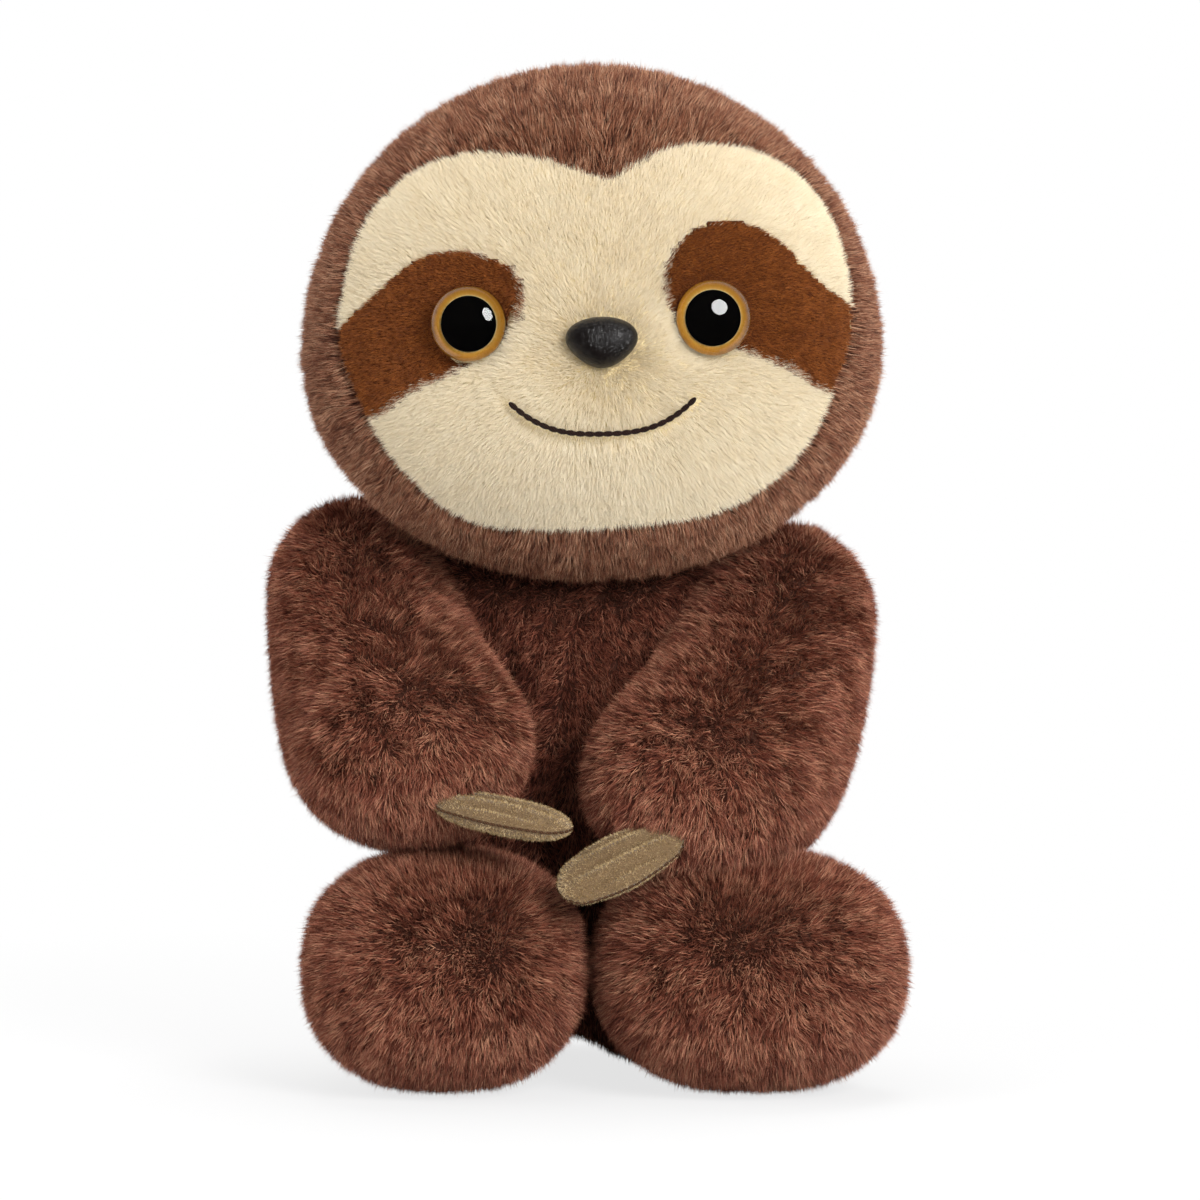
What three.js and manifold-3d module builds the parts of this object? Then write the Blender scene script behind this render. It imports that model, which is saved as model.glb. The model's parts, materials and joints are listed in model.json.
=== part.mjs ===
// Seated plush sloth: sewn pile covers over soft filling, with plastic eyes, a plastic nose and felt-like claws.
// Millimetres, +Z up. The toy faces -Y, and left and right are the toy's own, so its left side is at +X.
import * as THREE from 'three';
import { mergeVertices } from 'three/addons/utils/BufferGeometryUtils.js';
import Module from 'manifold-3d';

const wasm = await Module();
wasm.setup();

// Clearances and cutting allowances
const seamGap = 0.3;
const moveGap = 0.8;
const floorCut = 0.5;
const cutOver = 3;
// Cutters for moving pieces have few sides, so they are larger than the piece by this much
const coarseRoom = 2.3;

// Covers: pile and backing cloth together
const bodyCover = 7;
const patchDrop = 2;
const stuffingGap = 0.6;

// Torso, a pear that leans forward to the neck
const torsoX = -6;
const torsoY = 14;
const torsoHeight = 138.5;
const torsoHalfWidth = 49;
const torsoFrontDepth = 40;
const torsoBackDepth = 46;
const neckForward = 10;
const neckBallRadius = 21.5;
const neckStitchRadius = 20;
const neckThreadRadius = 1.1;
const pouchHeight = 34;
const torsoHeightShares = [0, 0.047, 0.148, 0.277, 0.421, 0.565, 0.709, 0.809, 0.888, 0.939, 0.975];
const torsoWidthShares = [0.69, 0.88, 0.99, 1, 0.94, 0.82, 0.69, 0.64, 0.63, 0.57, 0.25];
const torsoFrontShares = [0.55, 0.65, 0.75, 0.83, 0.95, 1, 0.9, 0.8, 0.68, 0.52, 0.3];
const torsoBackShares = [0.74, 0.87, 0.98, 1, 0.98, 0.91, 0.83, 0.74, 0.62, 0.46, 0.26];
const torsoForwardShares = [0, 0, 0, 0, 0, 0.1, 0.3, 0.6, 0.8, 1, 1];
const chestShare = 0.809;

// Head, two half egg shapes that meet at its widest level
const headX = -0.3;
const headY = -12;
const headHalfWidth = 80.5;
const headCrownHeight = 79.5;
const headChinHeight = 63.6;
const headFrontDepth = 67;
const headBackDepth = 66;
const headSink = 2.1;
const headTiltDegrees = 1.4;
const headTurnDegrees = 15;
const headNodDownDegrees = 4;
const headNodUpDegrees = 8;
const headSeamX = 5;
const muzzleRise = 8;
const muzzleX = 3;
const muzzleBelow = 14;
const muzzleWidth = 44;
const muzzleHeight = 30;

// Outline of the pale face and of the two eye patches, as shares of the head's half width and half height,
// anticlockwise seen from the front
const faceOutlineShares = [
  [0.07, 0.61], [0.13, 0.63], [0.25, 0.675], [0.4, 0.69], [0.58, 0.66], [0.73, 0.56], [0.82, 0.4],
  [0.86, 0.2], [0.86, 0.03], [0.79, -0.2], [0.68, -0.48], [0.43, -0.72], [0.03, -0.79], [-0.39, -0.76],
  [-0.62, -0.53], [-0.75, -0.27], [-0.83, 0.02], [-0.82, 0.21], [-0.76, 0.42], [-0.66, 0.56],
  [-0.52, 0.655], [-0.35, 0.69], [-0.16, 0.665], [0, 0.63],
];
const leftPatchShares = [
  [0.24, 0.25], [0.3, 0.365], [0.36, 0.41], [0.49, 0.43], [0.63, 0.36], [0.76, 0.22], [0.89, 0.1],
  [0.85, -0.16], [0.75, -0.165], [0.66, -0.09], [0.5, 0], [0.37, 0.04], [0.27, 0.09],
];
const rightPatchShares = [
  [-0.23, 0.26], [-0.22, 0.17], [-0.28, 0.04], [-0.41, -0.04], [-0.6, -0.14], [-0.74, -0.25],
  [-0.86, -0.2], [-0.89, 0.02], [-0.82, 0.12], [-0.73, 0.2], [-0.58, 0.32], [-0.43, 0.355], [-0.29, 0.31],
];

// Eyes, each a clear dome over a coloured base whose post passes the cloth
const eyeOut = 31.9;
const eyeAbove = 8.9;
const eyeRadius = 10;
const eyeDomeHeight = 5.6;
const eyeRimHeight = 1.2;
const eyeSink = 3.2;
const eyeTurnDegrees = 11;
const irisRadius = 9.5;
const irisThickness = 1.4;
const pupilRadius = 6.3;
const pupilThickness = 0.5;
const postRadius = 2.4;
const postLength = 11;
const washerRadius = 7.5;
const washerThickness = 2;
const washerDepth = 7;

// Nose and mouth
const noseX = 2.8;
const noseAbove = 3.2;
const noseHalfWidth = 9.4;
const noseHalfHeight = 6.8;
const noseHalfDepth = 5.2;
const noseProud = 5.6;
const noseTaperShare = 0.28;
const noseSink = 4.4;
const mouthThreadRadius = 0.75;
const mouthHalfWidth = 24.5;
const mouthX = 2.6;
const mouthBelow = 21;
const mouthRise = 8.7;
const mouthBendPower = 2.8;

// Limbs
const shoulderRadius = 27;
const shoulderY = 10;
const handForward = 62;
const handLength = 32;
const armInwardPower = 1.3;
const shoulderForward = 2;
const armTopBulge = 0.1;
const hipRadius = 29;
const hipY = -16;
const hipOut = 34;
const footForward = 34;
const footHalfHeight = 33.9;
const footLength = 42;
const footSquareness = 2.35;
const splayDegrees = 20;

// Claws, one pad of two sewn panels on each hand
const clawLength = 41;
const clawWidth = 17;
const clawThickness = 7;
const clawSewn = 6;
const clawSink = 2.5;
const clawGrooveDepth = 0.7;
const clawFlexDegrees = 8;
const clawRoom = 0.5;

// What differs between the two sides: places are measured towards the toy's middle, and directions are shares
const rightSide = {
  name: 'right', out: -1, shoulderHeight: 133, handInward: 17.5, handSink: 2,
  handHalfWidth: 33, handHalfHeight: 29, footOut: 0.3, footHalfWidth: 39.5,
  clawInward: 10, clawDown: 17, clawPointShares: [34, -11, -6], clawFaceShares: [0.15, -0.4, 0.9],
  patchShares: rightPatchShares,
};
const leftSide = {
  name: 'left', out: 1, shoulderHeight: 126, handInward: 24.5, handSink: 13,
  handHalfWidth: 33.5, handHalfHeight: 30, footOut: 14.8, footHalfWidth: 43.5,
  clawInward: 9, clawDown: 16, clawPointShares: [-29, -4, -14], clawFaceShares: [-0.1, -0.7, 0.7],
  patchShares: leftPatchShares,
};
const sides = [leftSide, rightSide];

// Mesh fineness, in counts
const headColumns = 32;
const headRows = 18;
const torsoColumns = 22;
const limbColumns = 20;
const innerColumns = 12;
const coarseColumns = 12;
const turnedColumns = 20;
const smallColumns = 16;
const innerHeadColumns = 18;
const innerHeadRows = 10;
const limbSteps = 6;
const innerLimbSteps = 4;

// Finishes
const finish = (color, roughness) => new THREE.MeshStandardMaterial({ color, roughness, metalness: 0 });
const brownPile = finish(0x7a5243, 0.95);
const darkPile = finish(0x6b4638, 0.95);
const creamPile = finish(0xead9b4, 0.95);
const rustPile = finish(0x84481f, 0.9);
const amberPlastic = finish(0xcf8f3d, 0.35);
const blackPlastic = finish(0x120f0e, 0.2);
const clearPlastic = finish(0xf4f1ea, 0.05);
const nosePlastic = finish(0x2a2422, 0.45);
const whitePlastic = finish(0xe6e4df, 0.5);
const clawSuede = finish(0x9c7f58, 0.9);
const brownThread = finish(0x3b2019, 0.8);
const polyesterFill = finish(0xf2f0ea, 1);
const pelletCloth = finish(0xd9d4c6, 0.9);

// Solids from geometry, and back

function toSolid(geometry) {
  const bare = new THREE.BufferGeometry();
  bare.setAttribute('position', geometry.getAttribute('position').clone());
  if (geometry.index) bare.setIndex(geometry.index.clone());
  const merged = mergeVertices(bare);
  const vertProperties = new Float32Array(merged.getAttribute('position').array);
  const triVerts = new Uint32Array(merged.index.array);
  const corner = (k) => new THREE.Vector3().fromArray(vertProperties, triVerts[k] * 3);
  let volume = 0;
  for (let k = 0; k < triVerts.length; k += 3) {
    volume += corner(k).dot(corner(k + 1).cross(corner(k + 2)));
  }
  if (volume < 0) triVerts.reverse();
  return new wasm.Manifold(new wasm.Mesh({ numProp: 3, vertProperties, triVerts }));
}

function piece(name, solid, material) {
  const { vertProperties, triVerts } = solid.getMesh();
  const geometry = new THREE.BufferGeometry();
  geometry.setAttribute('position', new THREE.BufferAttribute(new Float32Array(vertProperties), 3));
  geometry.setIndex(new THREE.BufferAttribute(new Uint32Array(triVerts), 1));
  geometry.computeVertexNormals();
  const mesh = new THREE.Mesh(geometry, material);
  mesh.name = name;
  return mesh;
}

// Rings of points joined from one pole to the other
function loft(startPole, rings, endPole) {
  const columns = rings[0].length;
  const points = [startPole, ...rings.flat(), endPole];
  const at = (ring, column) => 1 + ring * columns + (column % columns);
  const index = [];
  for (let c = 0; c < columns; c += 1) {
    index.push(0, at(0, c + 1), at(0, c));
    for (let r = 0; r + 1 < rings.length; r += 1) {
      index.push(at(r, c), at(r, c + 1), at(r + 1, c + 1), at(r, c), at(r + 1, c + 1), at(r + 1, c));
    }
    index.push(at(rings.length - 1, c), at(rings.length - 1, c + 1), points.length - 1);
  }
  return toSolid(new THREE.BufferGeometry().setFromPoints(points).setIndex(index));
}

// One ring: half axes across and over, the second one shorter or longer on its far side, squared by a power
function ring(centre, across, over, under, columns, squareness = 2) {
  const rounded = (value) => Math.sign(value) * Math.abs(value) ** (2 / squareness);
  return Array.from({ length: columns }, (_, k) => {
    const angle = (2 * Math.PI * k) / columns;
    const side = rounded(Math.cos(angle));
    const rise = rounded(Math.sin(angle));
    return centre.clone().addScaledVector(across, side).addScaledVector(rise > 0 ? over : under, Math.abs(rise));
  });
}

function block(width, depth, height, centre) {
  return toSolid(new THREE.BoxGeometry(width, depth, height).translate(centre.x, centre.y, centre.z));
}

function ball(radius, centre, columns) {
  const geometry = new THREE.SphereGeometry(radius, columns, columns / 2);
  return toSolid(geometry.translate(centre.x, centre.y, centre.z));
}

function turned(solid, centre, axis, degrees) {
  const matrix = new THREE.Matrix4().makeTranslation(centre)
    .multiply(new THREE.Matrix4().makeRotationAxis(axis, THREE.MathUtils.degToRad(degrees)))
    .multiply(new THREE.Matrix4().makeTranslation(centre.clone().negate()));
  return solid.transform(matrix.toArray());
}

const upAxis = new THREE.Vector3(0, 0, 1);
const acrossAxis = new THREE.Vector3(1, 0, 0);
const backAxis = new THREE.Vector3(0, 1, 0);
const toyWidth = 2 * torsoHalfWidth + 4 * shoulderRadius;
const toyDepth = torsoBackDepth + torsoFrontDepth + footLength + footForward;
const underFloor = block(2 * toyWidth, 2 * toyDepth, torsoHeight, new THREE.Vector3(0, 0, -torsoHeight / 2));

// Torso

const neckPivot = new THREE.Vector3(torsoX, torsoY - neckForward, torsoHeight - neckBallRadius);

function torsoForm(inset, columns) {
  const height = torsoHeight + floorCut - 2 * inset;
  const bottom = inset - floorCut;
  const rings = torsoHeightShares.map((share, k) => ring(
    new THREE.Vector3(torsoX, torsoY - neckForward * torsoForwardShares[k], bottom + share * height),
    acrossAxis.clone().multiplyScalar(torsoHalfWidth * torsoWidthShares[k] - inset),
    backAxis.clone().multiplyScalar(torsoBackDepth * torsoBackShares[k] - inset),
    backAxis.clone().multiplyScalar(inset - torsoFrontDepth * torsoFrontShares[k]),
    columns,
  ));
  const top = neckPivot.clone().setZ(bottom + height);
  return loft(new THREE.Vector3(torsoX, torsoY, bottom), rings, top);
}

// The narrow top rows of the torso have no room for an inset, so its inside ends below them
function torsoInside(inset) {
  const ceiling = neckPivot.z + 2 * bodyCover - inset;
  const lid = block(toyWidth, toyDepth, torsoHeight, new THREE.Vector3(torsoX, torsoY, ceiling + torsoHeight / 2));
  return torsoForm(inset, innerColumns).subtract(lid);
}

function torsoHalfWidthAt(share) {
  return torsoHalfWidth * torsoWidthShares[torsoHeightShares.indexOf(share)];
}

// Arms: rings that fan about a point above the forearm, from the shoulder down and forward to the hand, with a top
// that runs from the front of the shoulder to the hand

const shoulderCentre = (side) => new THREE.Vector3(
  torsoX + side.out * (torsoHalfWidthAt(chestShare) + moveGap + shoulderRadius),
  shoulderY,
  side.shoulderHeight,
);

const handCentre = (side) => new THREE.Vector3(
  shoulderCentre(side).x - side.out * side.handInward,
  shoulderY - handForward,
  2 * footHalfHeight - floorCut + moveGap + side.handHalfHeight - side.handSink,
);

function armForm(side, inset, columns, steps) {
  const shoulder = shoulderCentre(side);
  const hand = handCentre(side);
  const rings = [];
  const addRing = (centre, along, wide, high, outward, swell = 0) => rings.push(ring(
    centre.clone().add(along),
    acrossAxis.clone().multiplyScalar(wide),
    outward.clone().multiplyScalar(high),
    outward.clone().multiplyScalar(-high - swell),
    columns,
  ));
  const capAngles = Array.from({ length: steps / 2 }, (_, k) => ((k + 1) * Math.PI) / (steps + 2));
  const shoulderSize = shoulderRadius - inset;
  for (const angle of [...capAngles].reverse()) {
    const lift = upAxis.clone().multiplyScalar(shoulderSize * Math.sin(angle));
    const forward = shoulderForward * Math.cos(angle);
    addRing(shoulder, lift, shoulderSize * Math.cos(angle), shoulderSize * Math.cos(angle), backAxis, forward);
  }
  const wideHand = side.handHalfWidth - inset;
  const highHand = side.handHalfHeight - inset;
  const chordStart = shoulder.y - hand.y - shoulderSize - shoulderForward;
  const chordEnd = shoulder.z - hand.z - highHand;
  for (let k = 0; k <= steps; k += 1) {
    const share = k / steps;
    const angle = (share * Math.PI) / 2;
    const chord = 1 / (Math.cos(angle) / chordStart + Math.sin(angle) / chordEnd);
    const inner = chord * (1 - armTopBulge * Math.sin(2 * angle));
    const reach = THREE.MathUtils.lerp(shoulder.y - hand.y, shoulder.z - hand.z, share);
    const outward = new THREE.Vector3(0, Math.cos(angle), -Math.sin(angle));
    const centre = new THREE.Vector3(THREE.MathUtils.lerp(shoulder.x, hand.x, share ** armInwardPower), hand.y, shoulder.z);
    const wide = THREE.MathUtils.lerp(shoulderSize, wideHand, share);
    const high = THREE.MathUtils.lerp(shoulderSize, highHand, share);
    addRing(centre, outward.clone().multiplyScalar(reach), wide, high, outward, reach - high - inner);
  }
  const down = upAxis.clone().negate();
  for (const angle of capAngles) {
    const forward = backAxis.clone().multiplyScalar(-(handLength - inset) * Math.sin(angle));
    addRing(hand, forward, wideHand * Math.cos(angle), highHand * Math.cos(angle), down);
  }
  const top = shoulder.clone().addScaledVector(upAxis, shoulderSize);
  const tip = hand.clone().addScaledVector(backAxis, inset - handLength);
  return loft(top, rings, tip);
}

// Legs: a round hip that swells to the foot

const hipCentre = (side) => new THREE.Vector3(
  torsoX + side.out * hipOut,
  hipY,
  hipRadius + floorCut,
);

const footCentre = (side) => new THREE.Vector3(
  hipCentre(side).x + side.out * side.footOut,
  hipY - footForward,
  footHalfHeight - floorCut,
);

function legForm(side, inset, columns, steps) {
  const hip = hipCentre(side);
  const foot = footCentre(side);
  const rings = [];
  const addRing = (centre, wide, high, squareness) => rings.push(ring(
    centre,
    acrossAxis.clone().multiplyScalar(wide),
    upAxis.clone().multiplyScalar(high),
    upAxis.clone().multiplyScalar(-high),
    columns,
    squareness,
  ));
  const capAngles = Array.from({ length: steps / 2 }, (_, k) => ((k + 1) * Math.PI) / (steps + 2));
  const hipSize = hipRadius - inset;
  for (const angle of [...capAngles].reverse()) {
    const size = hipSize * Math.cos(angle);
    addRing(hip.clone().addScaledVector(backAxis, hipSize * Math.sin(angle)), size, size, 2);
  }
  const footWide = side.footHalfWidth - inset;
  const footHigh = footHalfHeight - inset;
  for (let k = 0; k <= steps / 2; k += 1) {
    const share = (2 * k) / steps;
    const eased = Math.sin((share * Math.PI) / 2);
    addRing(
      hip.clone().lerp(foot, eased).setY(THREE.MathUtils.lerp(hip.y, foot.y, share)),
      THREE.MathUtils.lerp(hipSize, footWide, eased),
      THREE.MathUtils.lerp(hipSize, footHigh, eased),
      THREE.MathUtils.lerp(2, footSquareness, eased),
    );
  }
  for (const angle of capAngles) {
    const size = Math.cos(angle);
    const centre = foot.clone().addScaledVector(backAxis, (inset - footLength) * Math.sin(angle));
    addRing(centre, footWide * size, footHigh * size, footSquareness);
  }
  const back = hip.clone().addScaledVector(backAxis, hipSize);
  const toe = foot.clone().addScaledVector(backAxis, inset - footLength);
  return loft(back, rings, toe);
}

// A leg at both ends of its splay, for cutting room in the torso
function legSweep(side) {
  const still = legForm(side, -coarseRoom, coarseColumns, innerLimbSteps);
  return still.add(turned(still, hipCentre(side), upAxis, side.out * splayDegrees));
}

// Claws

function clawFrame(side) {
  const along = new THREE.Vector3(...side.clawPointShares).normalize();
  const across = new THREE.Vector3(...side.clawFaceShares).cross(along).normalize();
  const face = along.clone().cross(across);
  const hand = handCentre(side);
  const over = side.clawInward / side.handHalfWidth;
  const down = side.clawDown / side.handHalfHeight;
  const depth = handLength * Math.sqrt(1 - over ** 2 - down ** 2);
  const root = new THREE.Vector3(
    hand.x - side.out * side.clawInward,
    hand.y - depth + clawSink,
    hand.z - side.clawDown,
  );
  return { along, across, face, root };
}

// A padded oval with two lengthwise grooves that part three claws
function clawForm(side, grow, columns) {
  const { along, across, face, root } = clawFrame(side);
  const geometry = new THREE.SphereGeometry(1, columns, columns / 2);
  const position = geometry.getAttribute('position');
  const middle = root.clone().addScaledVector(along, clawLength / 2 - clawSewn);
  for (let k = 0; k < position.count; k += 1) {
    const unit = new THREE.Vector3().fromBufferAttribute(position, k);
    const groove = clawGrooveDepth * Math.abs(unit.z) * Math.cos(1.5 * Math.PI * unit.x) ** 2;
    const point = middle.clone()
      .addScaledVector(along, unit.y * (clawLength / 2 + grow))
      .addScaledVector(across, unit.x * (clawWidth / 2 + grow))
      .addScaledVector(face, unit.z * (clawThickness / 2 + grow) - Math.sign(unit.z) * groove);
    position.setXYZ(k, point.x, point.y, point.z);
  }
  return toSolid(geometry);
}

function clawSweep(side) {
  const { across, root } = clawFrame(side);
  const still = clawForm(side, clawRoom, smallColumns);
  return [-1, 1].reduce((sum, k) => sum.add(turned(still, root, across, k * clawFlexDegrees)), still);
}

function clawPanels(side) {
  const { along, across, face, root } = clawFrame(side);
  const whole = clawForm(side, 0, smallColumns);
  const basis = new THREE.Matrix4().makeBasis(along, across, face).setPosition(root);
  const half = (sign) => {
    const level = (sign * (clawLength + seamGap)) / 2;
    const geometry = new THREE.BoxGeometry(2 * clawLength, clawLength, clawLength).translate(0, 0, level);
    return whole.intersect(toSolid(geometry.applyMatrix4(basis)));
  };
  return [
    piece(`claw_${side.name}_top_panel`, half(1), clawSuede),
    piece(`claw_${side.name}_under_panel`, half(-1), clawSuede),
  ];
}

// Two halves of a solid, parted by an upright plane through two points
function parted(solid, from, to) {
  const angle = Math.atan2(to.y - from.y, to.x - from.x);
  const half = (sign) => {
    const geometry = new THREE.BoxGeometry(2 * toyDepth, toyWidth, 2 * torsoHeight)
      .translate(0, (sign * (toyWidth + seamGap)) / 2, 0)
      .rotateZ(angle)
      .translate(from.x, from.y, torsoHeight);
    return solid.intersect(toSolid(geometry));
  };
  return [half(1), half(-1)];
}

const torsoBulk = torsoForm(0, torsoColumns);
const torsoRoom = torsoForm(-coarseRoom, coarseColumns);

function arm(side) {
  const room = clawSweep(side).add(torsoRoom);
  const shell = armForm(side, 0, limbColumns, limbSteps)
    .subtract(armForm(side, bodyCover, innerColumns, innerLimbSteps))
    .subtract(room);
  const [oneSide, otherSide] = parted(shell, shoulderCentre(side), handCentre(side));
  const [outer, inner] = side.out > 0 ? [oneSide, otherSide] : [otherSide, oneSide];
  const filling = armForm(side, bodyCover + stuffingGap, innerColumns, innerLimbSteps).subtract(room);
  return [
    piece(`arm_${side.name}_outer_panel`, outer, darkPile),
    piece(`arm_${side.name}_inner_panel`, inner, darkPile),
    piece(`arm_${side.name}_stuffing`, filling, polyesterFill),
    ...clawPanels(side),
  ];
}

// Room for the resting hand in the foot under it, wherever the foot splays to
function handRoom(side) {
  const still = armForm(side, -coarseRoom - moveGap, coarseColumns, innerLimbSteps);
  return still.add(turned(still, hipCentre(side), upAxis, -side.out * splayDegrees));
}

function leg(side) {
  const room = handRoom(side).add(underFloor);
  const shell = legForm(side, 0, limbColumns, limbSteps)
    .subtract(legForm(side, bodyCover, innerColumns, innerLimbSteps))
    .subtract(room);
  const [oneSide, otherSide] = parted(shell, hipCentre(side), footCentre(side));
  const [outer, inner] = side.out > 0 ? [oneSide, otherSide] : [otherSide, oneSide];
  const filling = legForm(side, bodyCover + stuffingGap, innerColumns, innerLimbSteps).subtract(room);
  return [
    piece(`leg_${side.name}_outer_panel`, outer, darkPile),
    piece(`leg_${side.name}_inner_panel`, inner, darkPile),
    piece(`leg_${side.name}_stuffing`, filling, polyesterFill),
  ];
}

function torso() {
  const legRoom = legSweep(leftSide).add(legSweep(rightSide));
  const shell = torsoBulk.subtract(torsoInside(bodyCover)).subtract(legRoom).subtract(underFloor);
  const from = new THREE.Vector3(torsoX, torsoY, 0);
  const [back, front] = parted(shell, from, from.clone().add(acrossAxis));
  const hipBack = hipY + hipRadius + coarseRoom;
  const hipTop = 2 * footHalfHeight + coarseRoom;
  const hipRoom = block(toyWidth, toyDepth, 2 * hipTop, new THREE.Vector3(torsoX, hipBack - toyDepth / 2, 0));
  const filling = torsoInside(bodyCover + stuffingGap).subtract(hipRoom);
  const middle = new THREE.Vector3(torsoX, torsoY, pouchHeight - torsoHeight / 2);
  const lower = block(toyWidth, toyDepth, torsoHeight, middle);
  const upper = block(toyWidth, toyDepth, torsoHeight + 2 * seamGap, middle);
  return [
    piece('torso_front_panel', front, darkPile),
    piece('torso_back_panel', back, darkPile),
    piece('torso_stuffing', filling.subtract(upper), polyesterFill),
    piece('seat_pellet_pouch', filling.intersect(lower), pelletCloth),
  ];
}

function neckStitching() {
  const centre = neckPivot.clone().setZ(torsoHeight - neckThreadRadius - headSink - neckThreadRadius);
  const geometry = new THREE.TorusGeometry(neckStitchRadius, neckThreadRadius, smallColumns / 2, turnedColumns);
  return piece('neck_stitching', toSolid(geometry.translate(centre.x, centre.y, centre.z)), brownThread);
}

// Head, in a frame of its own at the head's widest level

const headPlace = new THREE.Matrix4()
  .makeRotationY(-THREE.MathUtils.degToRad(headTiltDegrees))
  .setPosition(headX, headY, torsoHeight - headSink + headChinHeight);
const headPivot = neckPivot.clone().applyMatrix4(headPlace.clone().invert());

function muzzleAt(x, z) {
  return muzzleRise * Math.exp(-(((x - muzzleX) / muzzleWidth) ** 2) - (((z + muzzleBelow) / muzzleHeight) ** 2));
}

function headForm(inset, columns, rows) {
  const geometry = new THREE.SphereGeometry(1, columns, rows).rotateX(Math.PI / 2);
  const position = geometry.getAttribute('position');
  for (let k = 0; k < position.count; k += 1) {
    const unit = new THREE.Vector3().fromBufferAttribute(position, k);
    const x = unit.x * (headHalfWidth - inset);
    const z = unit.z * ((unit.z > 0 ? headCrownHeight : headChinHeight) - inset);
    const depth = unit.y * ((unit.y > 0 ? headBackDepth : headFrontDepth) - inset);
    position.setXYZ(k, x, depth + Math.min(unit.y, 0) * muzzleAt(x, z), z);
  }
  return toSolid(geometry);
}

// The front of the head at a place seen from the front
function faceY(x, z, inset = 0) {
  const high = (z > 0 ? headCrownHeight : headChinHeight) - inset;
  const depthShare = Math.sqrt(1 - (x / (headHalfWidth - inset)) ** 2 - (z / high) ** 2);
  return -depthShare * (headFrontDepth - inset + muzzleAt(x, z));
}

// An outline moved outwards all round, from a closed curve through points given in shares
function outline(shares, grow) {
  const curve = new THREE.CatmullRomCurve3(
    shares.map(([over, up]) => new THREE.Vector3(
      over * headHalfWidth,
      up * (up > 0 ? headCrownHeight : headChinHeight),
      0,
    )),
    true,
  );
  const points = curve.getPoints(2 * shares.length).slice(1);
  const turn = Math.sign(THREE.ShapeUtils.area(points));
  return points.map((point, k) => {
    const ahead = points[(k + 1) % points.length];
    const behind = points[(k + points.length - 1) % points.length];
    const way = ahead.clone().sub(behind).normalize();
    return new THREE.Vector2(point.x + turn * grow * way.y, point.y - turn * grow * way.x);
  });
}

// A straight cutter along Y with that outline, through the front of the head
function faceCutter(shares, grow) {
  const depth = headFrontDepth + muzzleRise + cutOver;
  const geometry = new THREE.ExtrudeGeometry(new THREE.Shape(outline(shares, grow)), { depth, bevelEnabled: false });
  return toSolid(geometry.rotateX(Math.PI / 2));
}

const eyeFrame = (side) => {
  const x = side.out * eyeOut;
  return new THREE.Matrix4()
    .makeRotationZ(THREE.MathUtils.degToRad(side.out * eyeTurnDegrees))
    .setPosition(x, faceY(x, eyeAbove) + eyeSink, eyeAbove);
};

// A turned solid about the eye's own axis, from points (radius, depth behind the cloth face of the eye)
function turnedPart(profile, matrix) {
  const points = profile.map(([radius, depth]) => new THREE.Vector2(radius, depth));
  return toSolid(new THREE.LatheGeometry(points, turnedColumns).applyMatrix4(matrix));
}

const irisFront = -irisThickness;
const pupilFront = irisFront - seamGap - pupilThickness;
const domeBack = pupilFront - seamGap;

function eyeHole(side) {
  const profile = [
    [0, -headFrontDepth / 2], [eyeRadius + seamGap, -headFrontDepth / 2],
    [eyeRadius + seamGap, bodyCover + cutOver], [0, bodyCover + cutOver],
  ];
  return turnedPart(profile, eyeFrame(side));
}

function washerRoom(matrix) {
  const profile = [
    [0, 0], [washerRadius + moveGap, 0],
    [washerRadius + moveGap, postLength + cutOver], [0, postLength + cutOver],
  ];
  return turnedPart(profile, matrix);
}

function washer(name, matrix) {
  const profile = [
    [postRadius + seamGap, washerDepth], [washerRadius, washerDepth],
    [washerRadius, washerDepth + washerThickness], [postRadius + seamGap, washerDepth + washerThickness],
    [postRadius + seamGap, washerDepth],
  ];
  return piece(name, turnedPart(profile, matrix), whitePlastic);
}

function eye(side) {
  const matrix = eyeFrame(side);
  const iris = [
    [0, irisFront], [irisRadius, irisFront], [irisRadius, 0], [postRadius, 0], [postRadius, postLength],
    [0, postLength],
  ];
  const pupil = [[0, pupilFront], [pupilRadius, pupilFront], [pupilRadius, irisFront - seamGap], [0, irisFront - seamGap]];
  const domeSteps = 5;
  const crown = Array.from({ length: domeSteps }, (_, k) => {
    const angle = (k * Math.PI) / 2 / domeSteps;
    return [eyeRadius * Math.cos(angle), domeBack - eyeRimHeight - eyeDomeHeight * Math.sin(angle)];
  });
  const dome = [[0, domeBack], [eyeRadius, domeBack], ...crown, [0, domeBack - eyeRimHeight - eyeDomeHeight]];
  return [
    piece(`eye_${side.name}_iris_post`, turnedPart(iris, matrix), amberPlastic),
    piece(`eye_${side.name}_pupil`, turnedPart(pupil, matrix), blackPlastic),
    piece(`eye_${side.name}_clear_dome`, turnedPart(dome, matrix), clearPlastic),
    washer(`eye_${side.name}_washer`, matrix),
  ];
}

const noseCentre = new THREE.Vector3(
  noseX,
  faceY(noseX, noseAbove) - noseProud + noseHalfDepth,
  noseAbove,
);
const noseFrame = new THREE.Matrix4().setPosition(noseX, faceY(noseX, noseAbove) + noseSink, noseAbove);

function noseForm(grow) {
  const geometry = new THREE.SphereGeometry(1, smallColumns, smallColumns / 2);
  const position = geometry.getAttribute('position');
  for (let k = 0; k < position.count; k += 1) {
    const unit = new THREE.Vector3().fromBufferAttribute(position, k);
    const taper = 1 + noseTaperShare * unit.y;
    position.setXYZ(
      k,
      noseCentre.x + unit.x * (noseHalfWidth * taper + grow),
      noseCentre.y + unit.z * (noseHalfDepth + grow),
      noseCentre.z + unit.y * (noseHalfHeight + grow),
    );
  }
  return toSolid(geometry);
}

function post(grow) {
  const profile = [[0, 0], [postRadius + grow, 0], [postRadius + grow, postLength], [0, postLength]];
  return turnedPart(profile, noseFrame);
}

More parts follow.
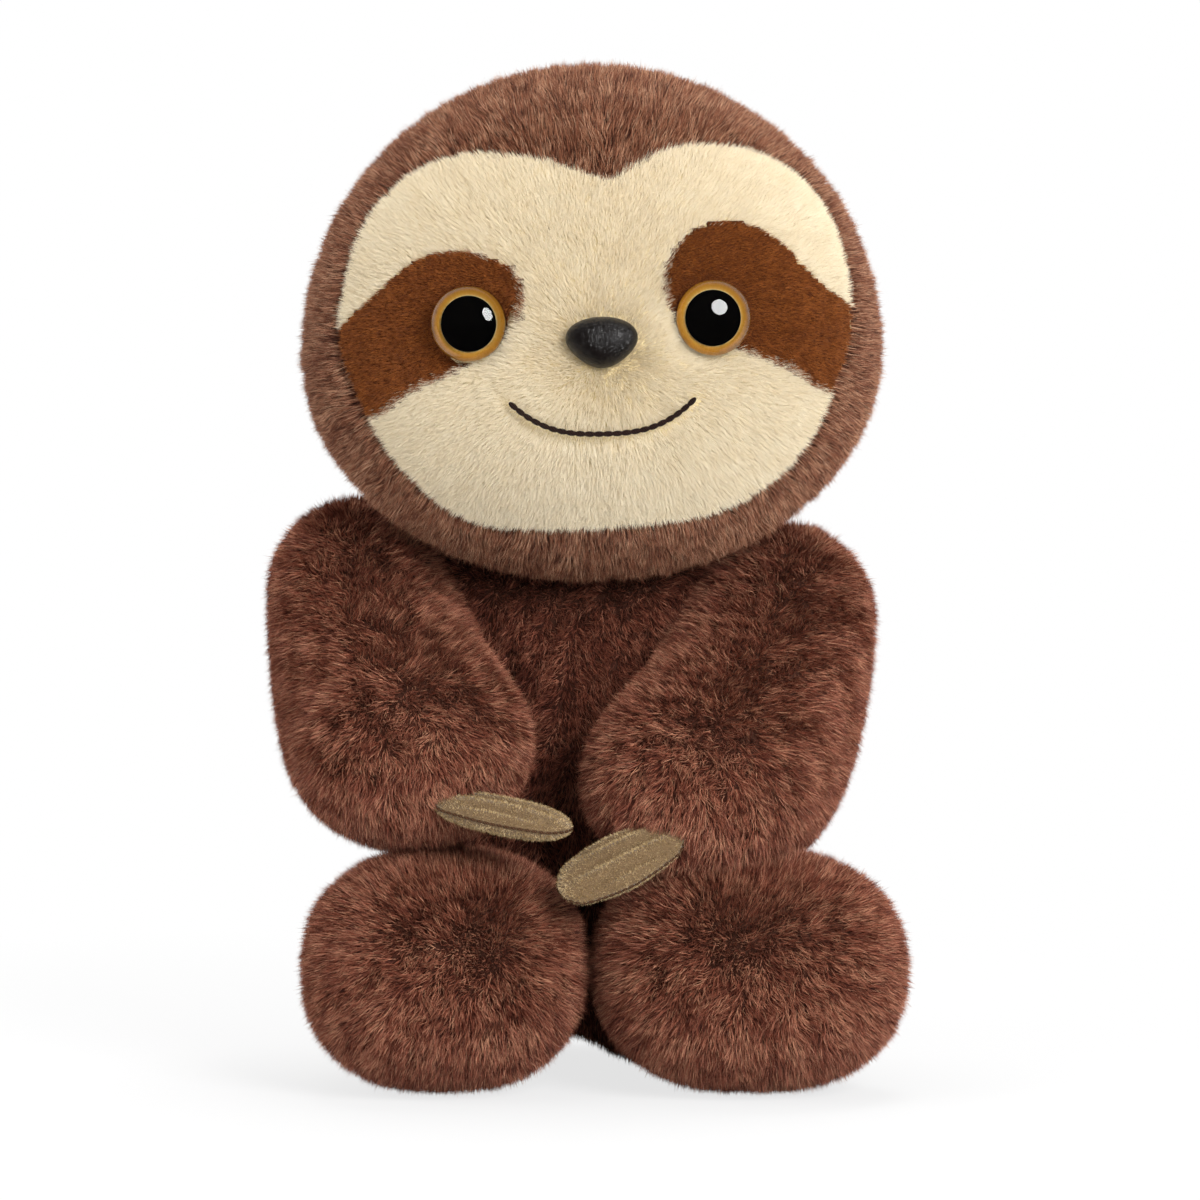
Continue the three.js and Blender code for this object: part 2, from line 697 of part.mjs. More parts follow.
// The smile: thread laid along a shallow arc on the pile
function mouthForm(radius) {
  const points = Array.from({ length: 9 }, (_, k) => {
    const over = k / 4 - 1;
    const x = mouthX + over * mouthHalfWidth;
    const z = -mouthBelow + mouthRise * Math.abs(over) ** mouthBendPower;
    return new THREE.Vector3(x, faceY(x, z), z);
  });
  const extrudePath = new THREE.CatmullRomCurve3(points);
  const section = new THREE.Shape().absarc(0, 0, radius, 0, 2 * Math.PI);
  return toSolid(new THREE.ExtrudeGeometry(section, {
    steps: smallColumns, curveSegments: 3, extrudePath, bevelEnabled: false,
  }));
}

// Hollows under the cheeks where the shoulders stay as the head turns and nods
function shoulderRoom() {
  const nods = [-headNodDownDegrees, headNodUpDegrees];
  const turns = [-headTurnDegrees, 0, headTurnDegrees];
  const balls = sides.flatMap((side) => turns.flatMap((turn) => nods.map((nod) => {
    const centre = shoulderCentre(side).sub(neckPivot)
      .applyAxisAngle(upAxis, THREE.MathUtils.degToRad(turn))
      .applyAxisAngle(acrossAxis, THREE.MathUtils.degToRad(nod))
      .add(neckPivot)
      .applyMatrix4(headPlace.clone().invert());
    return ball(shoulderRadius + moveGap + coarseRoom, centre, coarseColumns);
  })));
  return balls.reduce((sum, next) => sum.add(next));
}

function head() {
  const neckRoom = ball(neckBallRadius + moveGap, headPivot, smallColumns)
    .add(shoulderRoom());
  const outside = headForm(0, headColumns, headRows);
  const inside = headForm(bodyCover, innerHeadColumns, innerHeadRows);
  const shell = outside.subtract(inside).subtract(neckRoom);
  const brown = shell.subtract(faceCutter(faceOutlineShares, seamGap));
  const seam = new THREE.Vector3(headSeamX, 0, 0);
  const sideBlock = (sign) => block(
    4 * headHalfWidth,
    4 * headHalfWidth,
    4 * headHalfWidth,
    seam.clone().setX(headSeamX + sign * (2 * headHalfWidth + seamGap / 2)),
  );
  const face = shell.intersect(faceCutter(faceOutlineShares, 0));
  const shortPile = headForm(patchDrop, headColumns, headRows).subtract(inside)
    .intersect(faceCutter(faceOutlineShares, 0));
  const patch = (side) => shortPile.intersect(faceCutter(side.patchShares, 0)).subtract(eyeHole(side));
  const cream = face
    .subtract(faceCutter(leftPatchShares, seamGap))
    .subtract(faceCutter(rightPatchShares, seamGap))
    .subtract(eyeHole(leftSide))
    .subtract(eyeHole(rightSide))
    .subtract(noseForm(seamGap))
    .subtract(post(seamGap))
    .subtract(mouthForm(mouthThreadRadius + seamGap));
  const filling = headForm(bodyCover + stuffingGap, innerHeadColumns, innerHeadRows)
    .subtract(neckRoom)
    .subtract(washerRoom(eyeFrame(leftSide)))
    .subtract(washerRoom(eyeFrame(rightSide)))
    .subtract(washerRoom(noseFrame));
  const group = new THREE.Group();
  group.add(
    piece('head_left_panel', brown.intersect(sideBlock(1)), brownPile),
    piece('head_right_panel', brown.intersect(sideBlock(-1)), brownPile),
    piece('face_panel', cream, creamPile),
    ...sides.map((side) => piece(`eye_patch_${side.name}`, patch(side), rustPile)),
    ...sides.flatMap(eye),
    piece('nose', noseForm(0).add(post(0)), nosePlastic),
    washer('nose_washer', noseFrame),
    piece('mouth_stitching', mouthForm(mouthThreadRadius), brownThread),
    piece('head_stuffing', filling, polyesterFill),
  );
  group.applyMatrix4(headPlace);
  return group;
}

const toy = new THREE.Group();
toy.add(...torso(), neckStitching(), head(), ...sides.flatMap(arm), ...sides.flatMap(leg));

// The origin is under the middle of the whole toy, on the floor
toy.updateMatrixWorld(true);
const reach = new THREE.Box3().setFromObject(toy, true);
const middle = reach.getCenter(new THREE.Vector3());
toy.position.set(-middle.x, -middle.y, 0);

export default toy;
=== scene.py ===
"""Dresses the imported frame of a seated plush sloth: pile covers, face, claws, studio and camera.

Shapes are worked out in millimetres in the design frame of the CAD part, whose origin lies a little
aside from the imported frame's. The toy faces -Y, and left and right are the toy's own.
"""
import sys

import json
import logging
import math
from dataclasses import dataclass, field
from enum import Enum
from typing import Any, Callable, Sequence

import bmesh
import bpy
import numpy as np
from mathutils import Matrix, Vector
from mathutils.bvhtree import BVHTree


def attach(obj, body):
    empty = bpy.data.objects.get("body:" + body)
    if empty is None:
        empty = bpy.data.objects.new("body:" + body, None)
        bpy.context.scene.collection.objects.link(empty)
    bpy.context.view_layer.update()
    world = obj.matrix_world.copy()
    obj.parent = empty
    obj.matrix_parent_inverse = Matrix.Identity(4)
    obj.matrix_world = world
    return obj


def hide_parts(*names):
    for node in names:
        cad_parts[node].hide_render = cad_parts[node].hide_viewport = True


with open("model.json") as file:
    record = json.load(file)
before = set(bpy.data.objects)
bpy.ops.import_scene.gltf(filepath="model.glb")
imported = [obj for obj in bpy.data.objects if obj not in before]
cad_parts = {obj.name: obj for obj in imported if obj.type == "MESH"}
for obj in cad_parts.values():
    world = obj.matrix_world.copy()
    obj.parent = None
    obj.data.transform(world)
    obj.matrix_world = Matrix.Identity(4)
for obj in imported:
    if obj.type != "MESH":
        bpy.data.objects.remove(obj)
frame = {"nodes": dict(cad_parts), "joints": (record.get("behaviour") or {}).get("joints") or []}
log = logging.getLogger("plush_sloth")
MM = 0.001
FLOOR_GAP = 0.2
SHARP_DEGREES = 35
MOST_STEPS = 60
STITCH_SHARE = 0.98
SHOULDER_SHARE = 0.64
ARM_GAP = 0.8
ARM_REST_GAP = 1.5

Points = np.ndarray
# Functions of many points: a comb gives directions, a cover shares or choices, and a place moves them
Comb = Callable[[Points], Points]
Cover = Callable[[Points], Points]
Place = Callable[[Points], Points]
Material = bpy.types.Material
Tree = bpy.types.NodeTree
Node = bpy.types.Node
Socket = bpy.types.NodeSocket
Mesh = bpy.types.Mesh
Shape = bmesh.types.BMesh
Object = bpy.types.Object


class Side(Enum):
    """The toy's own sides, with the sign of X on each."""

    LEFT = 1
    RIGHT = -1

    @property
    def word(self) -> str:
        """The side's name as the CAD nodes have it."""
        return self.name.lower()


def joint(name: str) -> dict[str, Any]:
    """A packed joint's record."""
    return next(j for j in frame["joints"] if j["name"] == name)


def joint_place(name: str) -> Vector:
    """Where a packed joint sits, in millimetres."""
    return Vector(joint(name)["pos_m"]) / MM


NECK_PIVOT = Vector((-6.0, 4.0, 117.0))
SHIFT = joint_place("head_turn") - NECK_PIVOT


# Small helpers for colour and nodes


def linear(code: str) -> tuple[float, float, float, float]:
    """Turns an sRGB hex colour to linear.

    Args:
        code: six hex digits.

    Returns:
        Linear red, green and blue, and an alpha of 1.
    """
    shares = [int(code[k : k + 2], 16) / 255 for k in (0, 2, 4)]
    return (*[s / 12.92 if s <= 0.04045 else ((s + 0.055) / 1.055) ** 2.4 for s in shares], 1.0)


def add_node(tree: Tree, kind: str, inputs: dict[Any, Any] | None = None, **settings: Any) -> Node:
    """Adds a shader node with its settings and links.

    Args:
        tree: the material's or world's node tree.
        kind: the node's type, without the words ShaderNode.
        inputs: input name or number to a value, or to an output socket to link.
        settings: the node's own properties.

    Returns:
        The new node.
    """
    node = tree.nodes.new(f"ShaderNode{kind}")
    for key, value in settings.items():
        setattr(node, key, value)
    for key, value in (inputs or {}).items():
        if isinstance(value, Socket):
            tree.links.new(value, node.inputs[key])
        else:
            node.inputs[key].default_value = value
    return node


def per_mm(size: float) -> float:
    """The texture scale at which one pattern cell measures size millimetres on metres."""
    return 1 / (size * MM)


class Finish:
    """A material under work: its tree, one Principled shader and the Object coordinates."""

    def __init__(self, name: str, values: dict[str, Any]) -> None:
        """Starts the material.

        Args:
            name: the material's name.
            values: the shader's constant inputs.
        """
        self.material = bpy.data.materials.new(name)
        self.material.use_nodes = True
        self.tree = self.material.node_tree
        self.tree.nodes.clear()
        self.shader = add_node(self.tree, "BsdfPrincipled", values)
        self.output = add_node(self.tree, "OutputMaterial", {"Surface": self.shader.outputs["BSDF"]})
        self.place = add_node(self.tree, "TexCoord").outputs["Object"]

    def texture(self, kind: str, size: float, inputs: dict[str, Any] | None = None, **settings: Any) -> Node:
        """Adds a texture whose cells measure size millimetres.

        Args:
            kind: the texture, such as Noise.
            size: the size of a cell.
            inputs: its other inputs.
            settings: its own properties.

        Returns:
            The texture's node.
        """
        start = {"Vector": self.place, "Scale": per_mm(size)}
        return add_node(self.tree, f"Tex{kind}", start | (inputs or {}), **settings)

    def tint(self, factor: Socket, stops: Sequence[tuple[float, str]]) -> None:
        """Colours the shader by a ramp.

        Args:
            factor: what drives the ramp.
            stops: places from 0 to 1 and hex colours.
        """
        ramp = add_node(self.tree, "ValToRGB", {"Fac": factor})
        elements = ramp.color_ramp.elements
        while len(elements) < len(stops):
            elements.new(0.5)
        for element, (place, code) in zip(elements, stops):
            element.position = place
            element.color = linear(code)
        self.tree.links.new(ramp.outputs["Color"], self.shader.inputs["Base Color"])

    def rough(self, factor: Socket, low: float, high: float) -> None:
        """Lets the roughness run from low to high with a factor."""
        span = add_node(self.tree, "MapRange", {"Value": factor, "To Min": low, "To Max": high})
        self.tree.links.new(span.outputs["Result"], self.shader.inputs["Roughness"])

    def bump(self, height: Socket, depth: float, strength: float) -> None:
        """Links a bump to the shader.

        Args:
            height: the height from 0 to 1.
            depth: what a height of 1 measures, in millimetres.
            strength: from 0 to 1.
        """
        node = add_node(self.tree, "Bump", {"Height": height, "Distance": depth * MM, "Strength": strength})
        self.tree.links.new(node.outputs["Normal"], self.shader.inputs["Normal"])


# Finishes


@dataclass(frozen=True)
class PileFibre:
    """Polyester pile, heat set and brushed: a soft satin glow on each fibre and no hard gloss."""

    name: str
    tones: tuple[str, ...]
    glow: str
    sheen: float = 0.35
    gloss: float = 0.25
    grain: float = 2.0

    def materials(self) -> list[Material]:
        """One material for each tone, from root to tip.

        Returns:
            The materials.
        """
        made = []
        for number, tone in enumerate(self.tones):
            work = Finish(f"{self.name}_brushed_pile_{number}", {
                "Base Color": linear(tone), "Specular IOR Level": self.gloss, "Sheen Weight": self.sheen,
                "Sheen Roughness": 0.45, "Sheen Tint": linear(self.glow),
            })
            # Fibres catch light unevenly along their length, every 2 mm or so
            work.rough(work.texture("Noise", self.grain, {"Detail": 2.0}).outputs["Fac"], 0.45, 0.75)
            made.append(work.material)
        return made


@dataclass(frozen=True)
class BackingCloth:
    """Knitted polyester backing under the pile: dull, with a fine rib that shows only in a parting."""

    name: str
    tone: str
    rib: float = 1.2

    def material(self) -> Material:
        """The knitted cloth.

        Returns:
            Its material.
        """
        dull = {"Base Color": linear(self.tone), "Specular IOR Level": 0.15}
        work = Finish(f"{self.name}_knit_backing", dull)
        knit = work.texture("Wave", self.rib, {"Distortion": 1.5}).outputs["Fac"]
        work.bump(knit, 0.2, 0.5)
        work.rough(knit, 0.8, 0.95)
        return work.material


@dataclass(frozen=True)
class FibreFilling:
    """Carded polyester filling or its pouch cloth: white, matt and cloudy."""

    name: str
    tone: str
    shade: str
    grain: float

    def material(self) -> Material:
        """The filling.

        Returns:
            Its material.
        """
        work = Finish(f"{self.name}_carded_polyester", {"Roughness": 0.95})
        cloud = work.texture("Noise", self.grain, {"Detail": 5.0}).outputs["Fac"]
        work.tint(cloud, [(0.35, self.shade), (0.65, self.tone)])
        work.bump(cloud, 1.0, 0.6)
        return work.material


@dataclass(frozen=True)
class EyePaint:
    """Amber and black enamel on the back of the eye: a dark rim, a glowing band and a bright inner ring."""

    streak: float = 0.05
    rings: tuple[tuple[float, str], ...] = (
        (0.0, "1a0e08"), (0.63, "1a0e08"), (0.65, "fbe0a0"), (0.675, "eab556"), (0.71, "dd9f3c"),
        (0.76, "cf8c2e"), (0.83, "8a5620"), (0.93, "2e180a"),
    )

    def iris(self) -> Material:
        """The painted iris, banded by the radius kept in the piece's own UV map.

        Returns:
            Its material.
        """
        work = Finish("iris_painted_enamel", {"Roughness": 0.5, "Specular IOR Level": 0.0})
        paint = add_node(work.tree, "UVMap", uv_map="PaintMap").outputs["UV"]
        radius = add_node(work.tree, "SeparateXYZ", {"Vector": paint}).outputs["X"]
        ray = add_node(work.tree, "Mapping", {"Vector": paint, "Scale": (3.0, 60.0, 1.0)}).outputs["Vector"]
        noise = add_node(work.tree, "TexNoise", {"Vector": ray, "Scale": 1.0, "Detail": 2.0}).outputs["Fac"]
        stir = add_node(work.tree, "Math", {0: noise, 1: self.streak, 2: radius}, operation="MULTIPLY_ADD")
        work.tint(stir.outputs["Value"], self.rings)
        return work.material

    def pupil(self) -> Material:
        """The black pupil, matt behind the clear dome, with a faint brown bloom.

        Returns:
            Its material.
        """
        work = Finish("pupil_matt_enamel", {"Roughness": 0.6, "Specular IOR Level": 0.0})
        work.tint(work.texture("Noise", 4.0).outputs["Fac"], [(0.3, "040303"), (0.8, "090706")])
        return work.material


@dataclass(frozen=True)
class PolishedAcrylic:
    """Clear moulded acrylic, tumbled to a polish: it shows the paint and one sharp highlight."""

    haze: float = 0.004

    def material(self) -> Material:
        """The clear dome.

        Returns:
            Its material.
        """
        clear = {"Base Color": (1.0, 1.0, 1.0, 1.0), "Transmission Weight": 1.0, "IOR": 1.49}
        work = Finish("clear_polished_acrylic", clear)
        work.rough(work.texture("Noise", 3.0).outputs["Fac"], 0.0, self.haze)
        return work.material


@dataclass(frozen=True)
class MouldedPlastic:
    """Moulded plastic with a leather grain from its tool: satin, with the grain breaking up the shine."""

    name: str
    tone: str
    worn: str
    grain: float
    depth: float
    rough: float
    gloss: float = 0.5
    uneven: float = 0.08

    def material(self) -> Material:
        """The moulded plastic.

        Returns:
            Its material.
        """
        work = Finish(f"{self.name}_moulded_plastic", {"Specular IOR Level": self.gloss})
        cells = work.texture("Voronoi", self.grain, feature="DISTANCE_TO_EDGE").outputs["Distance"]
        wash = work.texture("Noise", 6.0, {"Detail": 3.0}).outputs["Fac"]
        work.tint(wash, [(0.35, self.tone), (0.7, self.worn)])
        rise = add_node(work.tree, "MapRange", {"Value": cells, "From Max": 0.25}).outputs["Result"]
        work.bump(rise, self.depth, 0.8)
        work.rough(wash, self.rough - self.uneven, self.rough + self.uneven)
        return work.material


@dataclass(frozen=True)
class SuedeCloth:
    """Tan microfibre suede under its brushed nap: matt and finely pitted."""

    tone: str
    grain: float = 0.6

    def material(self) -> Material:
        """The suede.

        Returns:
            Its material.
        """
        work = Finish("claw_microfibre_suede", {"Base Color": linear(self.tone), "Sheen Weight": 0.3})
        nap = work.texture("Noise", self.grain, {"Detail": 3.0, "Roughness": 0.7}).outputs["Fac"]
        work.bump(nap, 0.3, 0.8)
        work.rough(nap, 0.8, 1.0)
        return work.material


@dataclass(frozen=True)
class TwistedThread:
    """Two-ply polyester embroidery thread: a slight lustre on a diagonal twist."""

    name: str
    tone: str
    light: str
    ply: float = 1.6
    twist_degrees: float = 40.0

    def material(self) -> Material:
        """The thread.

        Returns:
            Its material.
        """
        work = Finish(f"{self.name}_twisted_thread", {"Roughness": 0.6, "Specular IOR Level": 0.2})
        twist = (0.0, math.radians(self.twist_degrees), 0.0)
        turn = add_node(work.tree, "Mapping", {"Vector": work.place, "Rotation": twist}).outputs["Vector"]
        ply = work.texture("Wave", self.ply, {"Vector": turn, "Distortion": 0.6}).outputs["Fac"]
        work.tint(ply, [(0.2, self.tone), (0.9, self.light)])
        work.bump(ply, 0.2, 0.8)
        return work.material


# Skins, and the pile that grows on them


@dataclass
class Skin:
    """A closed cloth surface in millimetres, as arrays of corners, smooth normals and triangles."""

    points: Points
    normals: Points
    triangles: Points

    @classmethod
    def of(cls, shape: Shape) -> "Skin":
        """The skin of a mesh under work.

        Args:
            shape: a closed mesh with faces outward.

        Returns:
            Its skin.
        """
        shape.normal_update()
        shape.verts.index_update()
        # Blender lists a sphere's faces in another order each time; sorted, they give the same pile each run
        triangles = []
        for face in shape.faces:
            ring = [vert.index for vert in face.verts]
            first = ring.index(min(ring))
            ring = ring[first:] + ring[:first]
            triangles += [(ring[0], *pair) for pair in zip(ring[1:], ring[2:])]
        points = np.array([v.co for v in shape.verts])
        normals = np.array([v.normal for v in shape.verts])
        return cls(points, normals, np.array(sorted(triangles), dtype=np.int64))

    def at_limit(self, name: str) -> BVHTree:
        """A search tree of the skin with a joint at the top of its range.

        Args:
            name: the joint's.

        Returns:
            The tree.
        """
        found = joint(name)
        turn = Matrix.Rotation(math.radians(found["range_deg"][1]), 3, Vector(found["axis"]))
        pivot = np.array(joint_place(name) - SHIFT)
        return Skin((self.points - pivot) @ np.array(turn).T + pivot, self.normals, self.triangles).tree()

    def tree(self) -> BVHTree:
        """A search tree of the skin."""
        return BVHTree.FromPolygons([Vector(p) for p in self.points], self.triangles.tolist())

    def area(self) -> float:
        """Its area in square millimetres."""
        return float(self._areas().sum())

    def _areas(self) -> Points:
        """The area of each triangle."""
        a, b, c = (self.points[self.triangles[:, k]] for k in range(3))
        return np.linalg.norm(np.cross(b - a, c - a), axis=1) / 2

    def scatter(self, count: int, rng: np.random.Generator) -> tuple[Points, Points]:
        """Spreads points over the skin.

        Args:
            count: how many.
            rng: the seeded generator.

        Returns:
            The points and the skin's normals there.
        """
        areas = np.cumsum(self._areas())
        # Steps of equal area with a little play spread the points more evenly than free throws
        throws = (np.arange(count) + rng.random(count)) / count * areas[-1]
        chosen = self.triangles[np.minimum(np.searchsorted(areas, throws), len(areas) - 1)]
        share = rng.random((count, 2))
        over = share.sum(1) > 1
        share[over] = 1 - share[over]
        weights = np.column_stack([1 - share.sum(1), share])[..., None]
        points = (self.points[chosen] * weights).sum(1)
        return points, unit((self.normals[chosen] * weights).sum(1))


def unit(vectors: Points) -> Points:
    """The same directions, one long."""
    return vectors / np.maximum(np.linalg.norm(vectors, axis=-1, keepdims=True), 1e-9)


def drift(points: Points, size: float, seed: int) -> Points:
    """A smooth random value over space, with a mean of 0 and a deviation of 1.

    Args:
        points: where, in millimetres.
        size: how far apart its hills lie, in millimetres.
        seed: which of the patterns.

    Returns:
        One value a point.
    """
    rng = np.random.default_rng(seed)
    waves = unit(rng.normal(size=(9, 3))) * (2 * math.pi / size) * rng.uniform(0.6, 1.5, (9, 1))
    return np.sin(points @ waves.T + rng.uniform(0, 2 * math.pi, 9)).sum(1) * math.sqrt(2 / 9)


def clearance(tree: BVHTree, points: Points) -> Points:
    """How far points lie outside a skin.

    Args:
        tree: the skin's.
        points: where, in millimetres.

    Returns:
        Millimetres, less than 0 inside it.
    """
    out = np.empty(len(points))
    for k, point in enumerate(points):
        here = Vector(point)
        place, normal, _, distance = tree.find_nearest(here)
        out[k] = math.copysign(distance, (here - place).dot(normal))
    return out


def pressed(points: Points, others: Sequence[BVHTree], length: float) -> Points:
    """The share of the pile's length that is left where other skins press on it.

    Args:
        points: the strands' roots.
        others: the skins.
        length: the pile's full length.

    Returns:
        From 0 where a skin touches to 1 at half the length away.
    """
    share = np.ones(len(points))
    for tree in others:
        share = np.minimum(share, np.clip(clearance(tree, points) / (0.5 * length), 0.0, 1.0))
    return share


@dataclass
class Strands:
    """Grown pile: for each tuft its root, and for each strand three corners and its tone."""

    roots: Points
    corners: Points
    tones: Points

    def where(self, keep: Points) -> "Strands":
        """Those of the tufts that keep names."""
        return Strands(self.roots[keep], self.corners[keep], self.tones[keep])

    def deeper(self) -> "Strands":
        """The same strands, each one tone darker, as painted shade."""
        return Strands(self.roots, self.corners, np.maximum(self.tones - 1, 0))


@dataclass(frozen=True)
class Pile:
    """One kind of pile, in millimetres and degrees."""

    fibre: PileFibre
    length: float
    width: float
    per_mm2: float
    tuft: int
    tuft_radius: float
    lean: float
    wander: float
    drift_size: float
    gather: float = 0.25
    stray: float = 0.08
    uneven: float = 0.1
    swell: float = 0.08
    contrast: float = 0.26
    undercoat: float = 0.35
    under_length: float = 0.84
    root_tones: int = 2
    shortest: float = 0.05
    comb_gain: float = 1.5
    lean_play: float = 6.0
    upright_share: float = 0.35
    root_depth: float = 0.4
    roll: float = 50.0
    patches: tuple[float, float] = (9.0, 3.5)
    patch_shares: tuple[float, float] = (0.6, 0.4)
    patch_contrast: float = 0.15

    def grow(self, skin: Skin, comb: Comb, cover: Cover, seed: int) -> Strands:
        """Grows tufts of tapered strands on a skin.

        Args:
            skin: the cloth.
            comb: gives the way the pile is brushed at points.
            cover: gives the share of the full length at points, 0 where it is bare.
            seed: the seed of this coat.

        Returns:
            The strands.
        """
        rng = np.random.default_rng(seed)
        roots, normals = skin.scatter(int(skin.area() * self.per_mm2 / self.tuft), rng)
        share = cover(roots)
        grown = share > self.shortest
        roots, normals, share = roots[grown], normals[grown], share[grown]
        flow = comb(roots)
        flow = flow - normals * (flow * normals).sum(1, keepdims=True)
        pull = np.clip(self.comb_gain * np.linalg.norm(flow, axis=1), 0.0, 1.0)
        flow = unit(flow)
        side = np.cross(normals, flow)
        turn = np.radians(self.wander) * drift(roots, self.drift_size, seed + 1)
        turn += np.radians(self.wander) * 0.5 * rng.normal(size=len(roots))
        flow = flow * np.cos(turn)[:, None] + side * np.sin(turn)[:, None]
        side = np.cross(normals, flow)
        lean = np.radians(self.lean) * (1 + 1.2 * self.swell * drift(roots, self.drift_size * 0.6, seed + 2))
        lean += np.radians(self.lean_play) * rng.normal(size=len(roots))
        lean *= self.upright_share + (1 - self.upright_share) * pull
        size = (len(roots), self.tuft)
        tones = self._tones(roots, size, rng, seed)
        spread = rng.normal(0, self.tuft_radius, (*size, 2))
        offset = flow[:, None] * spread[..., :1] + side[:, None] * spread[..., 1:]
        length = self.length * share * (1 + self.swell * drift(roots, self.drift_size * 0.4, seed + 3))
        length = length[:, None] * np.clip(1 + self.uneven * rng.normal(size=size), 0.5, 1.3)
        length = (length * np.where(tones < self.root_tones, self.under_length, 1.0))[..., None]
        way = normals * np.cos(lean)[:, None] + flow * np.sin(lean)[:, None]
        way = unit(way[:, None] + rng.normal(0, self.stray, (*size, 3)))
        foot = roots[:, None] + offset - self.root_depth * normals[:, None]
        tip = foot + way * length - self.gather * offset
        across = unit(np.cross(way, np.broadcast_to(normals[:, None], way.shape)))
        roll = np.radians(self.roll) * rng.normal(size=(*size, 1))
        half = (across * np.cos(roll) + np.cross(way, across) * np.sin(roll)) * (self.width / 2)
        return Strands(roots, np.stack([foot + half, foot - half, tip], axis=2), tones)

    def _tones(self, roots: Points, size: tuple[int, int], rng: np.random.Generator, seed: int) -> Points:
        """Which tone each strand has: the dark undercoat's, or one of the lighter pile's.

        Args:
            roots: the tufts' roots.
            size: how many tufts, and strands in each.
            rng: the seeded generator.
            seed: the seed of this coat.

        Returns:
            The tones' numbers.
        """
        tips = len(self.fibre.tones) - self.root_tones
        hills = (drift(roots, patch, seed + 4 + k) for k, patch in enumerate(self.patches))
        patchy = sum(share * hill for share, hill in zip(self.patch_shares, hills))
        shade = 0.5 + self.patch_contrast * patchy[:, None] + self.contrast * rng.normal(size=size)
        high = self.root_tones + np.clip(shade * tips, 0, tips - 1).astype(np.int64)
        under = rng.random(size) < self.undercoat
        return np.where(under, rng.integers(0, self.root_tones, size), high)


def unmoved(points: Points) -> Points:
    """The same points, for parts that are worked out where they belong."""
    return points


def in_frame(points: Points) -> Points:
    """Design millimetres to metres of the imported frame; nothing goes under the floor.

    Args:
        points: in millimetres.

    Returns:
        The points in metres.
    """
    placed = points + np.array(SHIFT)
    placed[:, 2] = np.maximum(placed[:, 2], FLOOR_GAP)
    return placed * MM


def plush_mesh(name: str, cloth: Shape, pile: Strands, place: Place = unmoved) -> Mesh:
    """One mesh of a cloth panel, its slot first, and the strands that grow on it.

    Args:
        name: the mesh's name.
        cloth: the cloth panel, in millimetres.
        pile: the strands, in millimetres.
        place: puts points where they belong in the design frame.

    Returns:
        The mesh, in metres.
    """
    cloth.verts.index_update()
    cloth_points = np.array([v.co for v in cloth.verts]).reshape(-1, 3)
    flat = [[v.index for v in f.verts] for f in cloth.faces]
    strands = pile.corners.reshape(-1, 3)
    points = in_frame(place(np.concatenate([cloth_points, strands])))
    spikes = len(cloth_points) + np.arange(len(strands))
    loops = np.concatenate([np.array([i for f in flat for i in f], np.int64), spikes])
    sizes = np.concatenate([np.array([len(f) for f in flat], np.int64), np.full(len(strands) // 3, 3)])
    slots = np.concatenate([np.zeros(len(flat), np.int64), pile.tones.ravel() + 1])
    mesh = bpy.data.meshes.new(name)
    mesh.vertices.add(len(points))
    mesh.vertices.foreach_set("co", points.astype(np.float32).ravel())
    mesh.loops.add(len(loops))
    mesh.loops.foreach_set("vertex_index", loops.astype(np.int32))
    mesh.polygons.add(len(sizes))
    mesh.polygons.foreach_set("loop_start", np.concatenate([[0], np.cumsum(sizes)[:-1]]).astype(np.int32))
    mesh.polygons.foreach_set("loop_total", sizes.astype(np.int32))
    mesh.polygons.foreach_set("material_index", slots.astype(np.int32))
    mesh.polygons.foreach_set("use_smooth", np.arange(len(sizes)) < len(flat))
    mesh.update(calc_edges=True)
    return mesh


def plain_mesh(name: str, shape: Shape, place: Place = unmoved) -> Mesh:
    """A smooth mesh from one under work.

    Args:
        name: the mesh's name.
        shape: the shape in millimetres; it is freed.
        place: puts points where they belong in the design frame.

    Returns:
        The mesh, in metres.
    """
    points = np.array([v.co for v in shape.verts])
    for vert, point in zip(shape.verts, in_frame(place(points))):
        vert.co = Vector(point)
    for face in shape.faces:
        face.smooth = True
    mesh = bpy.data.meshes.new(name)
    shape.to_mesh(mesh)
    shape.free()
    mesh.set_sharp_from_angle(angle=math.radians(SHARP_DEGREES))
    return mesh


@dataclass
class Piece:
    """A finished piece: what it is made of, what it rides on and what it stands for."""

    name: str
    mesh: Mesh
    finishes: Sequence[Material]
    body: str
    slot: str
    stands_for: Sequence[str] = ()
    fill: float | None = None

    def show(self) -> None:
        """Puts the piece in the scene."""
        made = bpy.data.objects.new(self.name, self.mesh)
        bpy.context.scene.collection.objects.link(made)
        for finish in self.finishes:
            self.mesh.materials.append(finish)
        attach(made, self.body)
        if self.stands_for:
            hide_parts(*self.stands_for)
        log.info("%s rides on %s: %d faces", self.name, self.body, len(self.mesh.polygons))


def face_out(shape: Shape) -> None:
    """Turns the faces of a closed shape outward."""
    bmesh.ops.recalc_face_normals(shape, faces=shape.faces[:])
    if shape.calc_volume(signed=True) < 0:
        bmesh.ops.reverse_faces(shape, faces=shape.faces[:])


def moulded(form: Callable[[Vector], Vector], columns: int, rows: int) -> Shape:
    """A unit ball pulled to a form.

    Args:
        form: where each point of the unit ball goes.
        columns: faces round it.
        rows: faces from pole to pole.

    Returns:
        The closed shape, faces outward.
    """
    shape = bmesh.new()
    bmesh.ops.create_uvsphere(shape, u_segments=columns, v_segments=rows, radius=1.0)
    for vert in shape.verts:
        vert.co = form(vert.co.copy())
    face_out(shape)
    return shape


